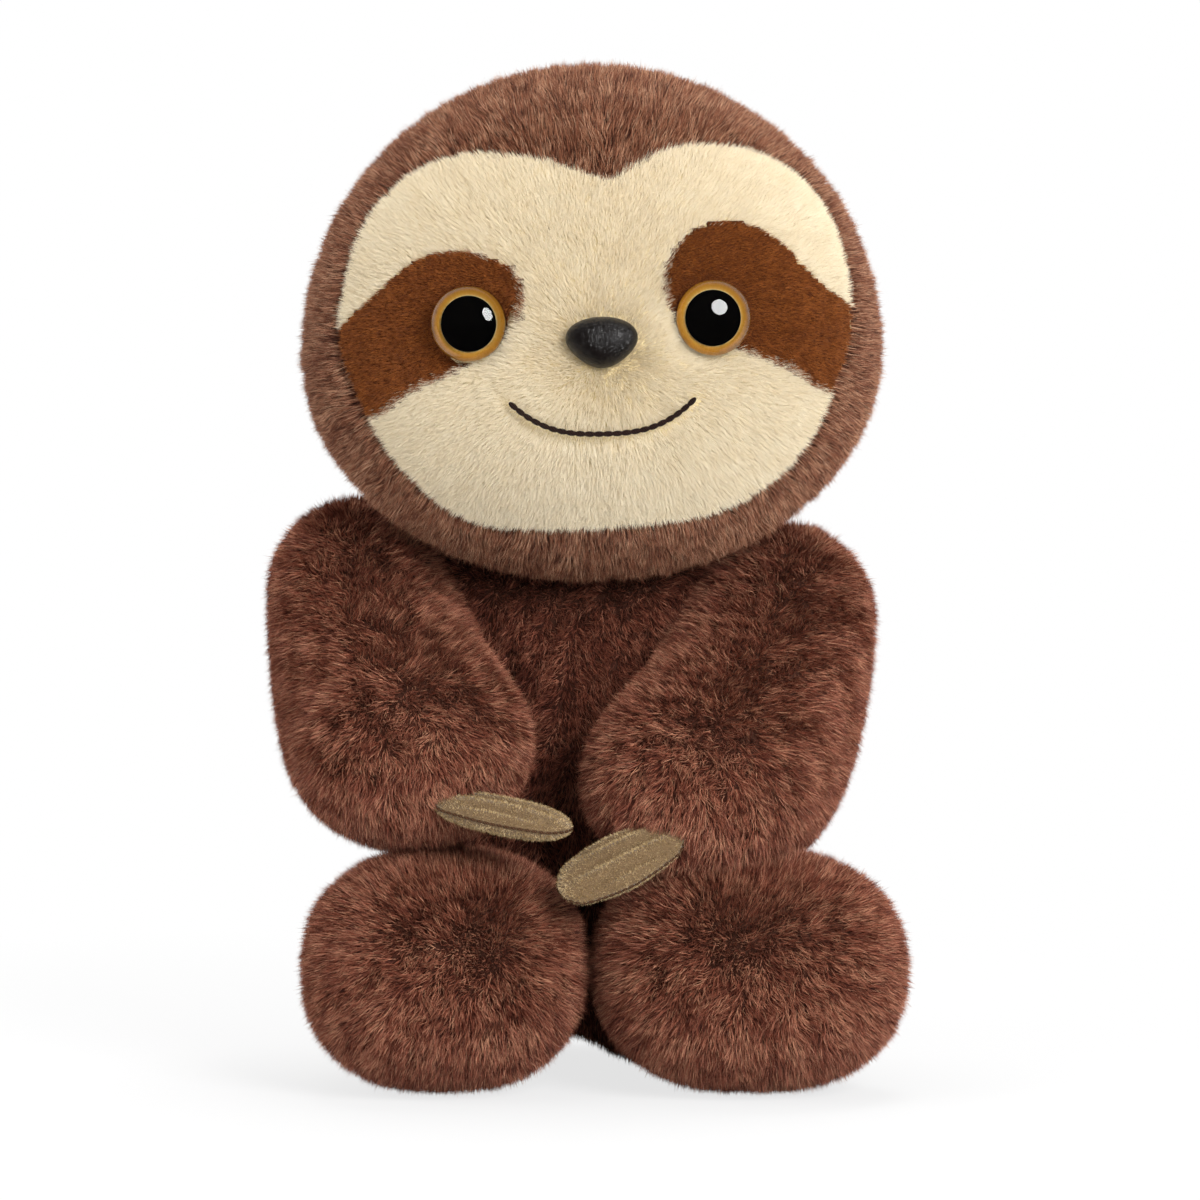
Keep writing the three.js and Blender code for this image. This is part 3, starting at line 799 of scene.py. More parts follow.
def panel_of(shape: Shape, keep: Cover, thickness: float) -> Shape:
    """A cloth panel cut from a skin.

    Args:
        shape: the whole skin.
        keep: whether the panel has each of the places.
        thickness: of the cloth, which grows inwards.

    Returns:
        The panel as a closed sheet.
    """
    panel = shape.copy()
    places = np.array([f.calc_center_median() for f in panel.faces])
    rest = [f for f, stays in zip(panel.faces, keep(places)) if not stays]
    bmesh.ops.delete(panel, geom=rest, context="FACES")
    bmesh.ops.solidify(panel, geom=panel.faces[:], thickness=thickness)
    bmesh.ops.recalc_face_normals(panel, faces=panel.faces[:])
    return panel


def smooth(shape: Shape) -> None:
    """Smooths a skin once."""
    bmesh.ops.smooth_vert(
        shape, verts=shape.verts[:], factor=0.5, use_axis_x=True, use_axis_y=True, use_axis_z=True
    )


def cut_off(shape: Shape, place: Vector, way: Vector) -> None:
    """Cuts off what lies past a plane and closes the cut.

    Args:
        shape: the closed shape, which is changed.
        place: a point of the plane.
        way: the side that goes.
    """
    geometry = shape.verts[:] + shape.edges[:] + shape.faces[:]
    bmesh.ops.bisect_plane(shape, geom=geometry, plane_co=place, plane_no=way, clear_outer=True)
    bmesh.ops.holes_fill(shape, edges=[e for e in shape.edges if e.is_boundary])
    face_out(shape)


def give_way(shape: Shape, others: Sequence[BVHTree], way: Vector, gap: float) -> None:
    """Presses a skin back where others lie against it.

    Args:
        shape: the skin, which is changed.
        others: the skins that press.
        way: the way it gives, one long.
        gap: what stays between them, in millimetres.
    """
    for _ in range(MOST_STEPS):
        moved = False
        for vert in shape.verts:
            for tree in others:
                place, normal, _, distance = tree.find_nearest(vert.co)
                inside = (vert.co - place).dot(normal) < 0
                if inside or distance < gap:
                    vert.co += way
                    moved = True
                    break
        if not moved:
            break
    smooth(shape)
    shape.normal_update()


def turned(profile: Sequence[tuple[float, float]], steps: int) -> Shape:
    """A profile spun about the Y axis.

    Args:
        profile: radius and depth along Y of each point, from one end of the axis to the other.
        steps: faces round it.

    Returns:
        The closed turned shape.
    """
    shape = bmesh.new()
    verts = [shape.verts.new((radius, depth, 0)) for radius, depth in profile]
    edges = [shape.edges.new(pair) for pair in zip(verts, verts[1:])]
    bmesh.ops.spin(
        shape, geom=verts + edges, axis=(0, 1, 0), cent=(0, 0, 0), dvec=(0, 0, 0),
        angle=2 * math.pi, steps=steps, use_merge=True, use_duplicate=False,
    )
    bmesh.ops.remove_doubles(shape, verts=shape.verts[:], dist=1e-4)
    face_out(shape)
    return shape


def rounded(value: float, squareness: float) -> float:
    """A sine or cosine squared up by a power."""
    return math.copysign(abs(value) ** (2 / squareness), value)


def mix(a: float, b: float, share: float) -> float:
    """The value that lies share of the way from a to b."""
    return a + (b - a) * share


# Forms: the outer faces of the stuffed parts, at the tips of the pile


def past_plane(places: Points, start: Vector, end: Vector, side: Side) -> Points:
    """Whether places lie further out than the upright plane through two points.

    Args:
        places: where, in millimetres.
        start: the point at the body.
        end: the point at the hand or foot.
        side: the limb's.

    Returns:
        One truth value a place.
    """
    along = (end - start).xy
    return (along.x * (places[:, 1] - start.y) - along.y * (places[:, 0] - start.x)) * side.value > 0


@dataclass(frozen=True)
class TorsoForm:
    """A pear that leans forward to the neck."""

    x: float = -6.0
    y: float = 14.0
    height: float = 138.5
    half_width: float = 49.0
    front: float = 40.0
    back: float = 46.0
    neck_forward: float = 10.0
    base: float = -0.94
    top: float = 0.97
    levels: tuple[float, ...] = (
        0, 0.047, 0.148, 0.277, 0.421, 0.565, 0.709, 0.809, 0.888, 0.939, 0.975, 1
    )
    widths: tuple[float, ...] = (0.69, 0.88, 0.99, 1, 0.95, 0.84, 0.74, 0.73, 0.78, 0.83, 0.82, 0.55)
    fronts: tuple[float, ...] = (0.55, 0.65, 0.75, 0.83, 0.95, 1, 0.9, 0.8, 0.7, 0.6, 0.5, 0.3)
    backs: tuple[float, ...] = (0.74, 0.87, 0.98, 1, 0.98, 0.91, 0.83, 0.76, 0.7, 0.62, 0.5, 0.3)
    collar: float = 3.5
    saddle: float = 7.0
    collar_levels: tuple[float, float] = (0.85, 0.95)
    cleft: float = 9.0
    cleft_width: float = 12.0
    forwards: tuple[float, ...] = (0, 0, 0, 0, 0, 0.1, 0.3, 0.6, 0.8, 1, 1, 1)

    def at(self, ball: Vector, inset: float) -> Vector:
        """Where a point of the unit ball lies on the form.

        Args:
            ball: the point.
            inset: how far inside the pile's tips, in millimetres.

        Returns:
            The place.
        """
        level = min(1.0, max(0.0, (ball.z - self.base) / (self.top - self.base)))
        rim = self.base if ball.z < self.base else self.top
        flat = math.hypot(ball.x, ball.y) / math.sqrt(1 - rim**2) if level in (0.0, 1.0) else 1.0
        around = math.atan2(ball.y, ball.x)
        depths, depth = (self.backs, self.back) if ball.y > 0 else (self.fronts, self.front)
        wide = flat * max(1.0, self.half_width * float(np.interp(level, self.levels, self.widths)) - inset)
        deep = flat * max(1.0, depth * float(np.interp(level, self.levels, depths)) - inset)
        collar = self.collar + self.saddle * (math.cos(around) * flat) ** 2
        rise = float(np.interp(level, self.collar_levels, (0, collar)))
        # The seam between the legs draws the seat up off the floor
        over = wide * math.cos(around) / self.cleft_width
        rise += self.cleft * math.exp(-over * over) * max(0.0, 1 - 4 * level)
        forward = self.neck_forward * float(np.interp(level, self.levels, self.forwards))
        return Vector((
            self.x + wide * math.cos(around),
            self.y - forward + deep * math.sin(around),
            inset + level * (self.height - 2 * inset) + rise,
        ))


@dataclass(frozen=True)
class ArmForm:
    """An arm that fans from the shoulder down and forward to the hand."""

    side: Side
    shoulder: Vector
    hand: Vector
    hand_half_width: float
    hand_half_height: float
    shoulder_radius: float = 27.0
    hand_length: float = 32.0
    inward_power: float = 1.3
    shoulder_forward: float = 6.0
    top_bulge: float = 0.3
    cap: float = 0.18
    wrist: float = 0.8
    elbow_drop: float = 3.0
    neck_room: float = 0.6

    def at(self, ball: Vector, inset: float) -> Vector:
        """Where a point of the unit ball lies on the form.

        Args:
            ball: the point.
            inset: how far inside the pile's tips, in millimetres.

        Returns:
            The place.
        """
        along = math.acos(max(-1.0, min(1.0, ball.z))) / math.pi
        around = math.atan2(ball.y, ball.x)
        radius = self.shoulder_radius - inset
        wide_hand, high_hand = self.hand_half_width - inset, self.hand_half_height - inset
        swell = drop = 0.0
        if along < self.cap:
            angle = math.pi / 2 * (1 - along / self.cap)
            centre = self.shoulder + Vector((0, 0, radius * math.sin(angle)))
            outward = Vector((0, 1, 0))
            wide = high = radius * math.cos(angle)
            swell = self.shoulder_forward * math.cos(angle) ** 1.5
        elif along < self.wrist:
            share = (along - self.cap) / (self.wrist - self.cap)
            angle = share * math.pi / 2
            outward = Vector((0, math.cos(angle), -math.sin(angle)))
            reach = mix(self.shoulder.y - self.hand.y, self.shoulder.z - self.hand.z, share)
            x = mix(self.shoulder.x, self.hand.x, share**self.inward_power)
            centre = Vector((x, self.hand.y, self.shoulder.z)) + outward * reach
            wide, high = mix(radius, wide_hand, share), mix(radius, high_hand, share)
            start = self.shoulder.y - self.hand.y - radius - self.shoulder_forward
            end = self.shoulder.z - self.hand.z - high_hand
            chord = 1 / (math.cos(angle) / start + math.sin(angle) / end)
            swell = reach - high - chord * (1 - self.top_bulge * math.sin(2 * angle))
            drop = self.elbow_drop * math.sin(math.pi * share) ** 2
        else:
            angle = math.pi / 2 * (along - self.wrist) / (1 - self.wrist)
            centre = self.hand + Vector((0, -(self.hand_length - inset) * math.sin(angle), 0))
            outward = Vector((0, 0, -1))
            wide, high = wide_hand * math.cos(angle), high_hand * math.cos(angle)
        # Towards the neck the shoulder stays round, which leaves the head its room
        inner = max(0.0, -self.side.value * math.cos(around))
        swell *= 1 - self.neck_room * inner * max(0.0, 1 - along / self.wrist)
        rise = math.sin(around)
        reach_out = high * rise + min(rise, 0) * swell + max(rise, 0) * drop
        return centre + Vector((wide * math.cos(around), 0, 0)) + outward * reach_out

    def outside(self, places: Points) -> Points:
        """Whether places belong to the outer panel, past the upright plane from shoulder to hand."""
        return past_plane(places, self.shoulder, self.hand, self.side)


@dataclass(frozen=True)
class LegForm:
    """A round hip that swells to the big foot."""

    side: Side
    hip: Vector
    foot: Vector
    foot_half_width: float
    foot_half_height: float = 33.9
    hip_radius: float = 29.0
    foot_length: float = 42.0
    squareness: float = 2.35
    cap: float = 0.3
    ankle: float = 0.55

    def at(self, ball: Vector, inset: float) -> Vector:
        """Where a point of the unit ball lies on the form.

        Args:
            ball: the point.
            inset: how far inside the pile's tips, in millimetres.

        Returns:
            The place.
        """
        along = math.acos(max(-1.0, min(1.0, ball.z))) / math.pi
        around = math.atan2(ball.y, ball.x)
        radius = self.hip_radius - inset
        wide_foot, high_foot = self.foot_half_width - inset, self.foot_half_height - inset
        squareness = 2.0
        if along < self.cap:
            angle = math.pi / 2 * (1 - along / self.cap)
            centre = self.hip + Vector((0, radius * math.sin(angle), 0))
            wide = high = radius * math.cos(angle)
        elif along < self.ankle:
            share = (along - self.cap) / (self.ankle - self.cap)
            eased = math.sin(share * math.pi / 2)
            centre = self.hip.lerp(self.foot, eased)
            centre.y = mix(self.hip.y, self.foot.y, share)
            wide, high = mix(radius, wide_foot, eased), mix(radius, high_foot, eased)
            squareness = mix(2.0, self.squareness, eased)
        else:
            angle = math.pi / 2 * (along - self.ankle) / (1 - self.ankle)
            centre = self.foot + Vector((0, -(self.foot_length - inset) * math.sin(angle), 0))
            wide, high = wide_foot * math.cos(angle), high_foot * math.cos(angle)
            squareness = self.squareness
        across = rounded(math.cos(around), squareness)
        return centre + Vector((wide * across, 0, high * rounded(math.sin(around), squareness)))

    def outside(self, places: Points) -> Points:
        """Whether places belong to the outer panel, past the upright plane from hip to foot."""
        return past_plane(places, self.hip, self.foot, self.side)


@dataclass(frozen=True)
class HeadForm:
    """Two half egg shapes that meet at the head's widest level, in the head's own frame."""

    half_width: float = 80.5
    crown: float = 79.5
    chin: float = 63.6
    front: float = 67.0
    back: float = 66.0
    muzzle_rise: float = 8.0
    muzzle: tuple[float, float] = (3.0, -14.0)
    muzzle_spread: tuple[float, float] = (44.0, 30.0)
    place: Vector = Vector((-0.3, -12.0, 200.0))
    tilt_degrees: float = 1.4

    def muzzle_at(self, x: float, z: float) -> float:
        """How far the muzzle stands out at a place seen from the front.

        Args:
            x: across.
            z: up.

        Returns:
            Millimetres.
        """
        over = (x - self.muzzle[0]) / self.muzzle_spread[0]
        up = (z - self.muzzle[1]) / self.muzzle_spread[1]
        return self.muzzle_rise * math.exp(-(over**2) - up**2)

    def at(self, ball: Vector, inset: float) -> Vector:
        """Where a point of the unit ball lies on the form.

        Args:
            ball: the point.
            inset: how far inside the pile's tips, in millimetres.

        Returns:
            The place.
        """
        x = ball.x * (self.half_width - inset)
        z = ball.z * ((self.crown if ball.z > 0 else self.chin) - inset)
        deep = ball.y * ((self.back if ball.y > 0 else self.front) - inset)
        return Vector((x, deep + min(ball.y, 0) * self.muzzle_at(x, z), z))

    def face_y(self, x: float, z: float, inset: float = 0.0) -> float:
        """How far forward the face lies at a place seen from the front.

        Args:
            x: across.
            z: up.
            inset: how far inside the pile's tips, in millimetres.

        Returns:
            The place along Y.
        """
        high = (self.crown if z > 0 else self.chin) - inset
        share = 1 - (x / (self.half_width - inset)) ** 2 - (z / high) ** 2
        return -math.sqrt(max(share, 0.0)) * (self.front - inset + self.muzzle_at(x, z))

    def outline(self, shares: Sequence[tuple[float, float]], steps: int = 6) -> Points:
        """A closed smooth curve in the plane of the face.

        Args:
            shares: its points, as shares of the head's half width and half height.
            steps: points made for each one given.

        Returns:
            Its points in millimetres.
        """
        heights = [self.crown if z > 0 else self.chin for _, z in shares]
        knots = np.array([(x * self.half_width, z * high) for (x, z), high in zip(shares, heights)])
        before, ahead, beyond = np.roll(knots, 1, 0), np.roll(knots, -1, 0), np.roll(knots, -2, 0)
        share = (np.arange(steps) / steps)[None, :, None]
        a, b, c, d = (k[:, None] for k in (before, knots, ahead, beyond))
        bend = 2 * a - 5 * b + 4 * c - d + share * (3 * (b - c) + d - a)
        curve = b + 0.5 * share * (c - a + share * bend)
        return curve.reshape(-1, 2)

    def in_design(self, points: Points) -> Points:
        """Points of the head's own frame, in the design frame."""
        turn = Matrix.Rotation(-math.radians(self.tilt_degrees), 3, "Y")
        return points @ np.array(turn).T + np.array(self.place)


def inside_outline(points: Points, outline: Points) -> Points:
    """Whether points lie inside a closed outline, both in the plane of the face.

    Args:
        points: across and up of each.
        outline: its corners.

    Returns:
        One truth value a point.
    """
    x, z = points[:, :1], points[:, 1:2]
    ahead = np.roll(outline, -1, 0)
    crosses = (outline[:, 1] > z) != (ahead[:, 1] > z)
    rise = np.where(ahead[:, 1] == outline[:, 1], 1e-9, ahead[:, 1] - outline[:, 1])
    reach = outline[:, 0] + (z - outline[:, 1]) * (ahead[:, 0] - outline[:, 0]) / rise
    return (crosses & (x < reach)).sum(1) % 2 == 1


def outline_distance(points: Points, outline: Points) -> Points:
    """How far points lie from an outline, in the plane of the face.

    Args:
        points: across and up of each.
        outline: its corners, close together.

    Returns:
        Millimetres to the nearest corner.
    """
    found = np.full(len(points), 1e9)
    for corner in outline:
        found = np.minimum(found, np.hypot(points[:, 0] - corner[0], points[:, 1] - corner[1]))
    return found


# Sub-assemblies


BODY_FIBRE = PileFibre(
    "body", ("371610", "4d2319", "683528", "814634", "9c5c46", "b4785f", "cb9373"), "c39a7c", 0.1
)
# Greyer tones than the body's, as painted light: they stand in for the top light that falls on the head.
HEAD_FIBRE = PileFibre(
    "head", ("381f18", "4c2b1f", "673d2c", "7e4b36", "945f45", "ad7c5e", "c79a7b"), "d0b3a0", 0.1
)
FACE_FIBRE = PileFibre("face", ("ddceac", "e2d4b6", "e9dbbe", "ecdfc4", "efe4cb"), "fff6e0", 0.15)
PATCH_FIBRE = PileFibre("patch", ("4a200a", "5a2c0f", "79401a", "8b4c1f", "9f5c28"), "b87840", 0.25)
SUEDE_FIBRE = PileFibre(
    "claw", ("5f4828", "755b38", "967b50", "b09468", "c8ac80", "e0c89c"), "cdb894", 0.3
)
BODY_PILE = Pile(
    BODY_FIBRE, length=4.0, width=0.275, per_mm2=9.0, tuft=5, tuft_radius=0.5, lean=38, wander=30,
    drift_size=8, gather=0.2, stray=0.14, uneven=0.15, undercoat=0.3,
)
HEAD_PILE = Pile(
    HEAD_FIBRE, length=4.3, width=0.28, per_mm2=8.1, tuft=5, tuft_radius=0.5, lean=36, wander=20,
    drift_size=11, gather=0.25, stray=0.11, uneven=0.12, undercoat=0.3,
)
FACE_PILE = Pile(
    FACE_FIBRE, length=2.9, width=0.22, per_mm2=17.0, tuft=8, tuft_radius=0.7, lean=34, wander=10,
    drift_size=12, gather=0.0, stray=0.09, uneven=0.06, swell=0.03, contrast=0.16, undercoat=0.08,
    under_length=0.97,
)
PATCH_PILE = Pile(
    PATCH_FIBRE, length=1.6, width=0.2, per_mm2=24.0, tuft=6, tuft_radius=0.4, lean=28, wander=12,
    drift_size=6, gather=0.2, uneven=0.1, contrast=0.24, undercoat=0.3, under_length=0.85,
)
SUEDE_NAP = Pile(
    SUEDE_FIBRE, length=0.9, width=0.22, per_mm2=34.0, tuft=5, tuft_radius=0.14, lean=20, wander=60,
    drift_size=2, gather=0.8, stray=0.2, uneven=0.3, contrast=0.45, undercoat=0.3, under_length=0.7,
)
COVER_DEPTH = 3.2
CLOTH_THICKNESS = 0.7
FILLING_DEPTH = 9.0
COVER_FILL = 0.8
INNER_FILL = 0.7
HEAD_FILL = 0.85


def show_cover_pair(
    name: str, words: tuple[str, str], shape: Shape, first: Cover, pile: Strands, finishes: Sequence[Material]
) -> None:
    """Makes the two panels of a body's or limb's cover, with their pile.

    Args:
        name: the sub-assembly, which is also its body.
        words: what the two panels are called.
        shape: the skin that they are cut from; it is freed.
        first: whether places belong to the first panel.
        pile: the strands on the whole skin.
        finishes: the cloth's and the fibres' materials.
    """
    grown = first(pile.roots)
    for word, wanted in zip(words, (True, False)):
        cloth = panel_of(shape, lambda places: first(places) == wanted, CLOTH_THICKNESS)
        mesh = plush_mesh(f"{name}_{word}_cover", cloth, pile.where(grown == wanted))
        cloth.free()
        Piece(mesh.name, mesh, finishes, name, "body_pile", [f"{name}_{word}_panel"], COVER_FILL).show()
    shape.free()


class Dressing:
    """The finishes that several pieces share."""

    def __init__(self) -> None:
        """Makes them once."""
        self.body_pile = [BackingCloth("body", "40241a").material(), *BODY_FIBRE.materials()]
        self.head_pile = [BackingCloth("head", "4a2f24").material(), *HEAD_FIBRE.materials()]
        self.face_pile = [BackingCloth("face", "d6c498").material(), *FACE_FIBRE.materials()]
        self.patch_pile = [BackingCloth("patch", "4c2409").material(), *PATCH_FIBRE.materials()]
        self.filling = FibreFilling("stuffing", "f4f2ec", "dedad0", 4.0).material()
        self.pouch = FibreFilling("pellet_pouch", "ddd8ca", "c4bda9", 2.5).material()
        self.iris = EyePaint().iris()
        self.pupil = EyePaint().pupil()
        self.acrylic = PolishedAcrylic().material()
        self.nose = MouldedPlastic("nose", "0b0807", "130e0c", 0.5, 0.08, 0.24, 0.4).material()
        self.washer = MouldedPlastic("washer", "e6e4df", "dcdad3", 1.5, 0.05, 0.5).material()
        self.suede = [SuedeCloth("6d5639").material(), *SUEDE_FIBRE.materials()]
        self.mouth_thread = TwistedThread("mouth", "120806", "2c1711").material()
        self.seam_thread = TwistedThread("claw_seam", "3b2517", "5c3f28").material()
        self.cover_thread = TwistedThread("cover_seam", "2b1812", "4a2d22").material()


@dataclass
class Limb:
    """What arms and legs share: a two-panel plush cover over filling."""

    form: ArmForm | LegForm
    name: str
    dressing: Dressing
    seed: int
    columns: int = 44
    rows: int = 52
    neighbours: list[BVHTree] = field(default_factory=list)
    hard_neighbours: list[BVHTree] = field(default_factory=list)
    hard_gap: float = 0.2

    def skin_shape(self) -> Shape:
        """The cloth of the limb, closed."""
        return moulded(lambda ball: self.form.at(ball, COVER_DEPTH), self.columns, self.rows)

    def cover(self, roots: Points) -> Points:
        """The share of the pile's length: shorter where a neighbour presses on it.

        Args:
            roots: the tufts' roots.

        Returns:
            The shares.
        """
        share = pressed(roots, self.neighbours, BODY_PILE.length)
        for tree in self.hard_neighbours:
            share = np.where(clearance(tree, roots) < self.hard_gap, 0.0, share)
        return share

    def build(self, shape: Shape, comb: Comb) -> None:
        """Makes the two panels with their pile, and the filling.

        Args:
            shape: the limb's skin.
            comb: the way its pile is brushed.
        """
        pile = BODY_PILE.grow(Skin.of(shape), comb, self.cover, self.seed)
        show_cover_pair(
            self.name, ("outer", "inner"), shape, self.form.outside, pile, self.dressing.body_pile
        )
        filling = moulded(lambda ball: self.form.at(ball, FILLING_DEPTH), 24, 20)
        mesh = plain_mesh(f"{self.name}_filling", filling)
        node = f"{self.name}_stuffing"
        Piece(mesh.name, mesh, [self.dressing.filling], self.name, "filling", [node], COVER_FILL).show()


@dataclass
class Arm(Limb):
    """One arm, brushed down to the hand."""

    fullness: float = 0.85

    def skin_shape(self) -> Shape:
        """The cloth of the arm, which its filling holds out nearly to its convex hull.

        Returns:
            The closed shape.
        """
        shape = super().skin_shape()
        hull = bmesh.new()
        for vert in shape.verts:
            hull.verts.new(vert.co)
        bmesh.ops.convex_hull(hull, input=hull.verts[:])
        around = BVHTree.FromBMesh(hull)
        for vert in shape.verts:
            vert.co = vert.co.lerp(around.find_nearest(vert.co)[0], self.fullness)
        hull.free()
        smooth(shape)
        return shape

    def comb(self, points: Points) -> Points:
        """Down, and a little forward and inward, along the arm."""
        return np.broadcast_to(np.array([-0.25 * self.form.side.value, -0.2, -1.0]), points.shape)


@dataclass
class Leg(Limb):
    """One leg, brushed down and out from a whorl on the sole."""

    whorl_over: float = 0.0
    whorl_up: float = 5.0
    whorl_radius: float = 3.0
    outward: float = 0.14
    swirl: float = 0.12
    swirl_reach: float = 22.0

    def comb(self, points: Points) -> Points:
        """Down and out, away from the whorl, with a swirl near it.

        Args:
            points: the tufts' roots.

        Returns:
            The ways there.
        """
        foot = self.form.foot
        whorl = np.array([foot.x + self.whorl_over, foot.y - self.form.foot_length, foot.z + self.whorl_up])
        away = points - whorl
        far = np.linalg.norm(away, axis=1, keepdims=True)
        swirl = unit(np.cross(away, np.array([0.0, -1.0, 0.0])))
        down = np.array([0.1 * self.form.side.value, 0.0, -0.36])
        outward = self.outward * away / np.maximum(far, self.whorl_radius)
        return outward + self.swirl * np.exp(-far / self.swirl_reach) * swirl + down


@dataclass
class Torso:
    """The body's cover, filling and pellet pouch."""

    form: TorsoForm
    dressing: Dressing
    neighbours: list[BVHTree]
    pouch_height: float = 34.0
    pouch_gap: float = 0.6
    seat_gap: float = 2.0
    filling_gap: float = 4.0

    def build(self, legs: Sequence[BVHTree]) -> None:
        """Makes the two panels with their pile, the filling and the pouch.

        Args:
            legs: the skins of the legs, round which the seat gives way.
        """
        shape = moulded(lambda ball: self.form.at(ball, COVER_DEPTH), 48, 60)
        give_way(shape, legs, Vector((0, 1, 0)), self.seat_gap)
        # The torso's pile goes one tone darker than the limbs': painted shade, standing in for the shadow
        # under the head and between the arms.
        pile = BODY_PILE.grow(Skin.of(shape), self.comb, self.cover, 50).deeper()
        show_cover_pair("torso", ("front", "back"), shape, self.in_front, pile, self.dressing.body_pile)
        self.fill(legs)

    def in_front(self, places: Points) -> Points:
        """Whether places belong to the front panel."""
        return places[:, 1] < self.form.y

    def fill(self, legs: Sequence[BVHTree]) -> None:
        """Makes the filling over the pellet pouch.

        Args:
            legs: the skins of the legs.
        """
        inside = moulded(lambda ball: self.form.at(ball, FILLING_DEPTH), 28, 30)
        give_way(inside, legs, Vector((0, 1, 0)), self.filling_gap)
        parts = (
            ("torso_filling", "torso_stuffing", self.dressing.filling, "filling", 1),
            ("seat_pouch", "seat_pellet_pouch", self.dressing.pouch, "pellet_pouch", -1),
        )
        for name, node, finish, slot, sign in parts:
            part = inside.copy()
            level = self.pouch_height + self.pouch_gap / 2 * sign
            cut_off(part, Vector((0, 0, level)), Vector((0, 0, -sign)))
            Piece(name, plain_mesh(name, part), [finish], "torso", slot, [node], INNER_FILL).show()
        inside.free()

    def comb(self, points: Points) -> Points:
        """Brushed down all over."""
        return np.broadcast_to(np.array([0.0, -0.15, -1.0]), points.shape)

    def cover(self, roots: Points) -> Points:
        """The share of the pile's length: none where a limb hides the cloth."""
        return pressed(roots, self.neighbours, BODY_PILE.length)


@dataclass
class Claw:
    """One pad of two suede panels on a hand, with two grooves that part three claws."""

    side: Side
    hand: ArmForm
    inward: float
    down: float
    point: Vector
    facing: Vector
    dressing: Dressing
    length: float = 38.0
    width: float = 17.0
    thickness: float = 9.0
    sewn: float = 4.5
    sink: float = 2.5
    rise: float = 1.8
    groove: float = 1.9
    lip: float = 0.45
    stitch: float = 1.9
    stitch_share: float = 0.75
    thread: float = 0.42
    seam_gap: float = 0.24
    roundness: float = 0.28
    plumpness: float = 0.8
    taper: float = 0.16

    def axes(self) -> tuple[Vector, Vector, Vector, Vector]:
        """The claw's way along, across and out of its face, and its root.

        Returns:
            Three directions, one long, and a place.
        """
        along = self.point.normalized()
        across = self.facing.cross(along).normalized()
        hand = self.hand
        over, low = self.inward / hand.hand_half_width, self.down / hand.hand_half_height
        depth = hand.hand_length * math.sqrt(1 - over**2 - low**2)
        root = hand.hand + Vector((-self.side.value * self.inward, -depth + self.sink, self.rise - self.down))
        return along, across, along.cross(across), root

    def at(self, ball: Vector) -> Vector:
        """Where a point of the unit ball lies on the pad.

        Args:
            ball: the point.

        Returns:
            The place.
        """
        along, across, face, root = self.axes()
        middle = root + along * (self.length / 2 - self.sewn)
        swell = max(abs(ball.x), abs(ball.y), 1e-6) / max(math.hypot(ball.x, ball.y), 1e-6)
        swell = swell**-self.roundness
        groove = self.groove * abs(ball.z) * math.cos(1.5 * math.pi * ball.x) ** 4 * (1 - ball.y**2)
        flat = math.copysign(abs(ball.z) ** self.plumpness, ball.z)
        edge = self.lip * math.exp(-((ball.z / 0.12) ** 2))
        taper = 1 - self.taper * max(0.0, -ball.y)
        return (
            middle
            + along * ball.y * swell * (self.length / 2 + edge)
            + across * ball.x * swell * (self.width / 2 * taper + edge)
            + face * (flat * self.thickness / 2 - math.copysign(groove, ball.z))
        )

    def shape(self) -> Shape:
        """The whole pad."""
        return moulded(self.at, 56, 40)

    def build(self) -> None:
        """Makes the two panels and the seam's stitches."""
        _, _, face, root = self.axes()
        name = f"claw_{self.side.word}"
        whole = self.shape()
        nap = SUEDE_NAP.grow(Skin.of(whole), self.comb, self.nap_cover, 90)
        top = (nap.roots - np.array(root)) @ np.array(face) > 0
        for word, sign in (("top", 1), ("under", -1)):
            half = whole.copy()
            cut_off(half, root + face * self.seam_gap / 2 * sign, face * -sign)
            mesh = plush_mesh(f"{name}_{word}_pad", half, nap.where(top == (sign > 0)))
            half.free()
            node = f"{name}_{word}_panel"
            Piece(mesh.name, mesh, self.dressing.suede, name, "claw_suede", [node], INNER_FILL).show()
        whole.free()
        mesh = plain_mesh(f"{name}_seam_stitches", self.stitches())
        Piece(mesh.name, mesh, [self.dressing.seam_thread], name, "thread").show()

    def comb(self, points: Points) -> Points:
        """Along the claw."""
        return np.broadcast_to(np.array(self.axes()[0]), points.shape)

    def nap_cover(self, points: Points) -> Points:
        """The nap's length share: less along the seam, where the stitches press it."""
        _, _, face, root = self.axes()
        return np.clip(0.35 + np.abs((points - np.array(root)) @ np.array(face)) / 1.2, 0.0, 1.0)

    def stitches(self) -> Shape:
        """Small stitches all round the edge where the panels meet."""
        rim = [self.at(Vector((math.cos(a), math.sin(a), 0.0))) for a in np.linspace(0, 2 * math.pi, 240)]
        return sewn_along(rim, self.stitch, self.stitch_share, self.thread)


def sewn_along(path: Sequence[Vector], pitch: float, share: float, radius: float) -> Shape:
    """A row of stitches along a path.

    Args:
        path: points along it, close together.
        pitch: from one stitch to the next, in millimetres.
        share: how much of the pitch a stitch covers.
        radius: the thread's.

    Returns:
        The stitches as small closed lozenges.
    """
    steps = [0.0]
    for a, b in zip(path, path[1:]):
        steps.append(steps[-1] + (b - a).length)
    count = max(1, round(steps[-1] / pitch))
    axes = [[p[k] for p in path] for k in range(3)]
    row = bmesh.new()
    for number in range(count):
        ends = [steps[-1] * (number + 0.5 + half * share) / count for half in (-0.5, 0.5)]
        start, stop = (Vector([float(np.interp(e, steps, axis)) for axis in axes]) for e in ends)
        turn = (stop - start).to_track_quat("Z", "Y").to_matrix().to_4x4()
        size = Matrix.Diagonal((radius, radius, (stop - start).length / 2 + radius * 0.5, 1))
        place = Matrix.Translation((start + stop) / 2) @ turn @ size
        bmesh.ops.create_uvsphere(row, u_segments=8, v_segments=6, radius=1.0, matrix=place)
    return row


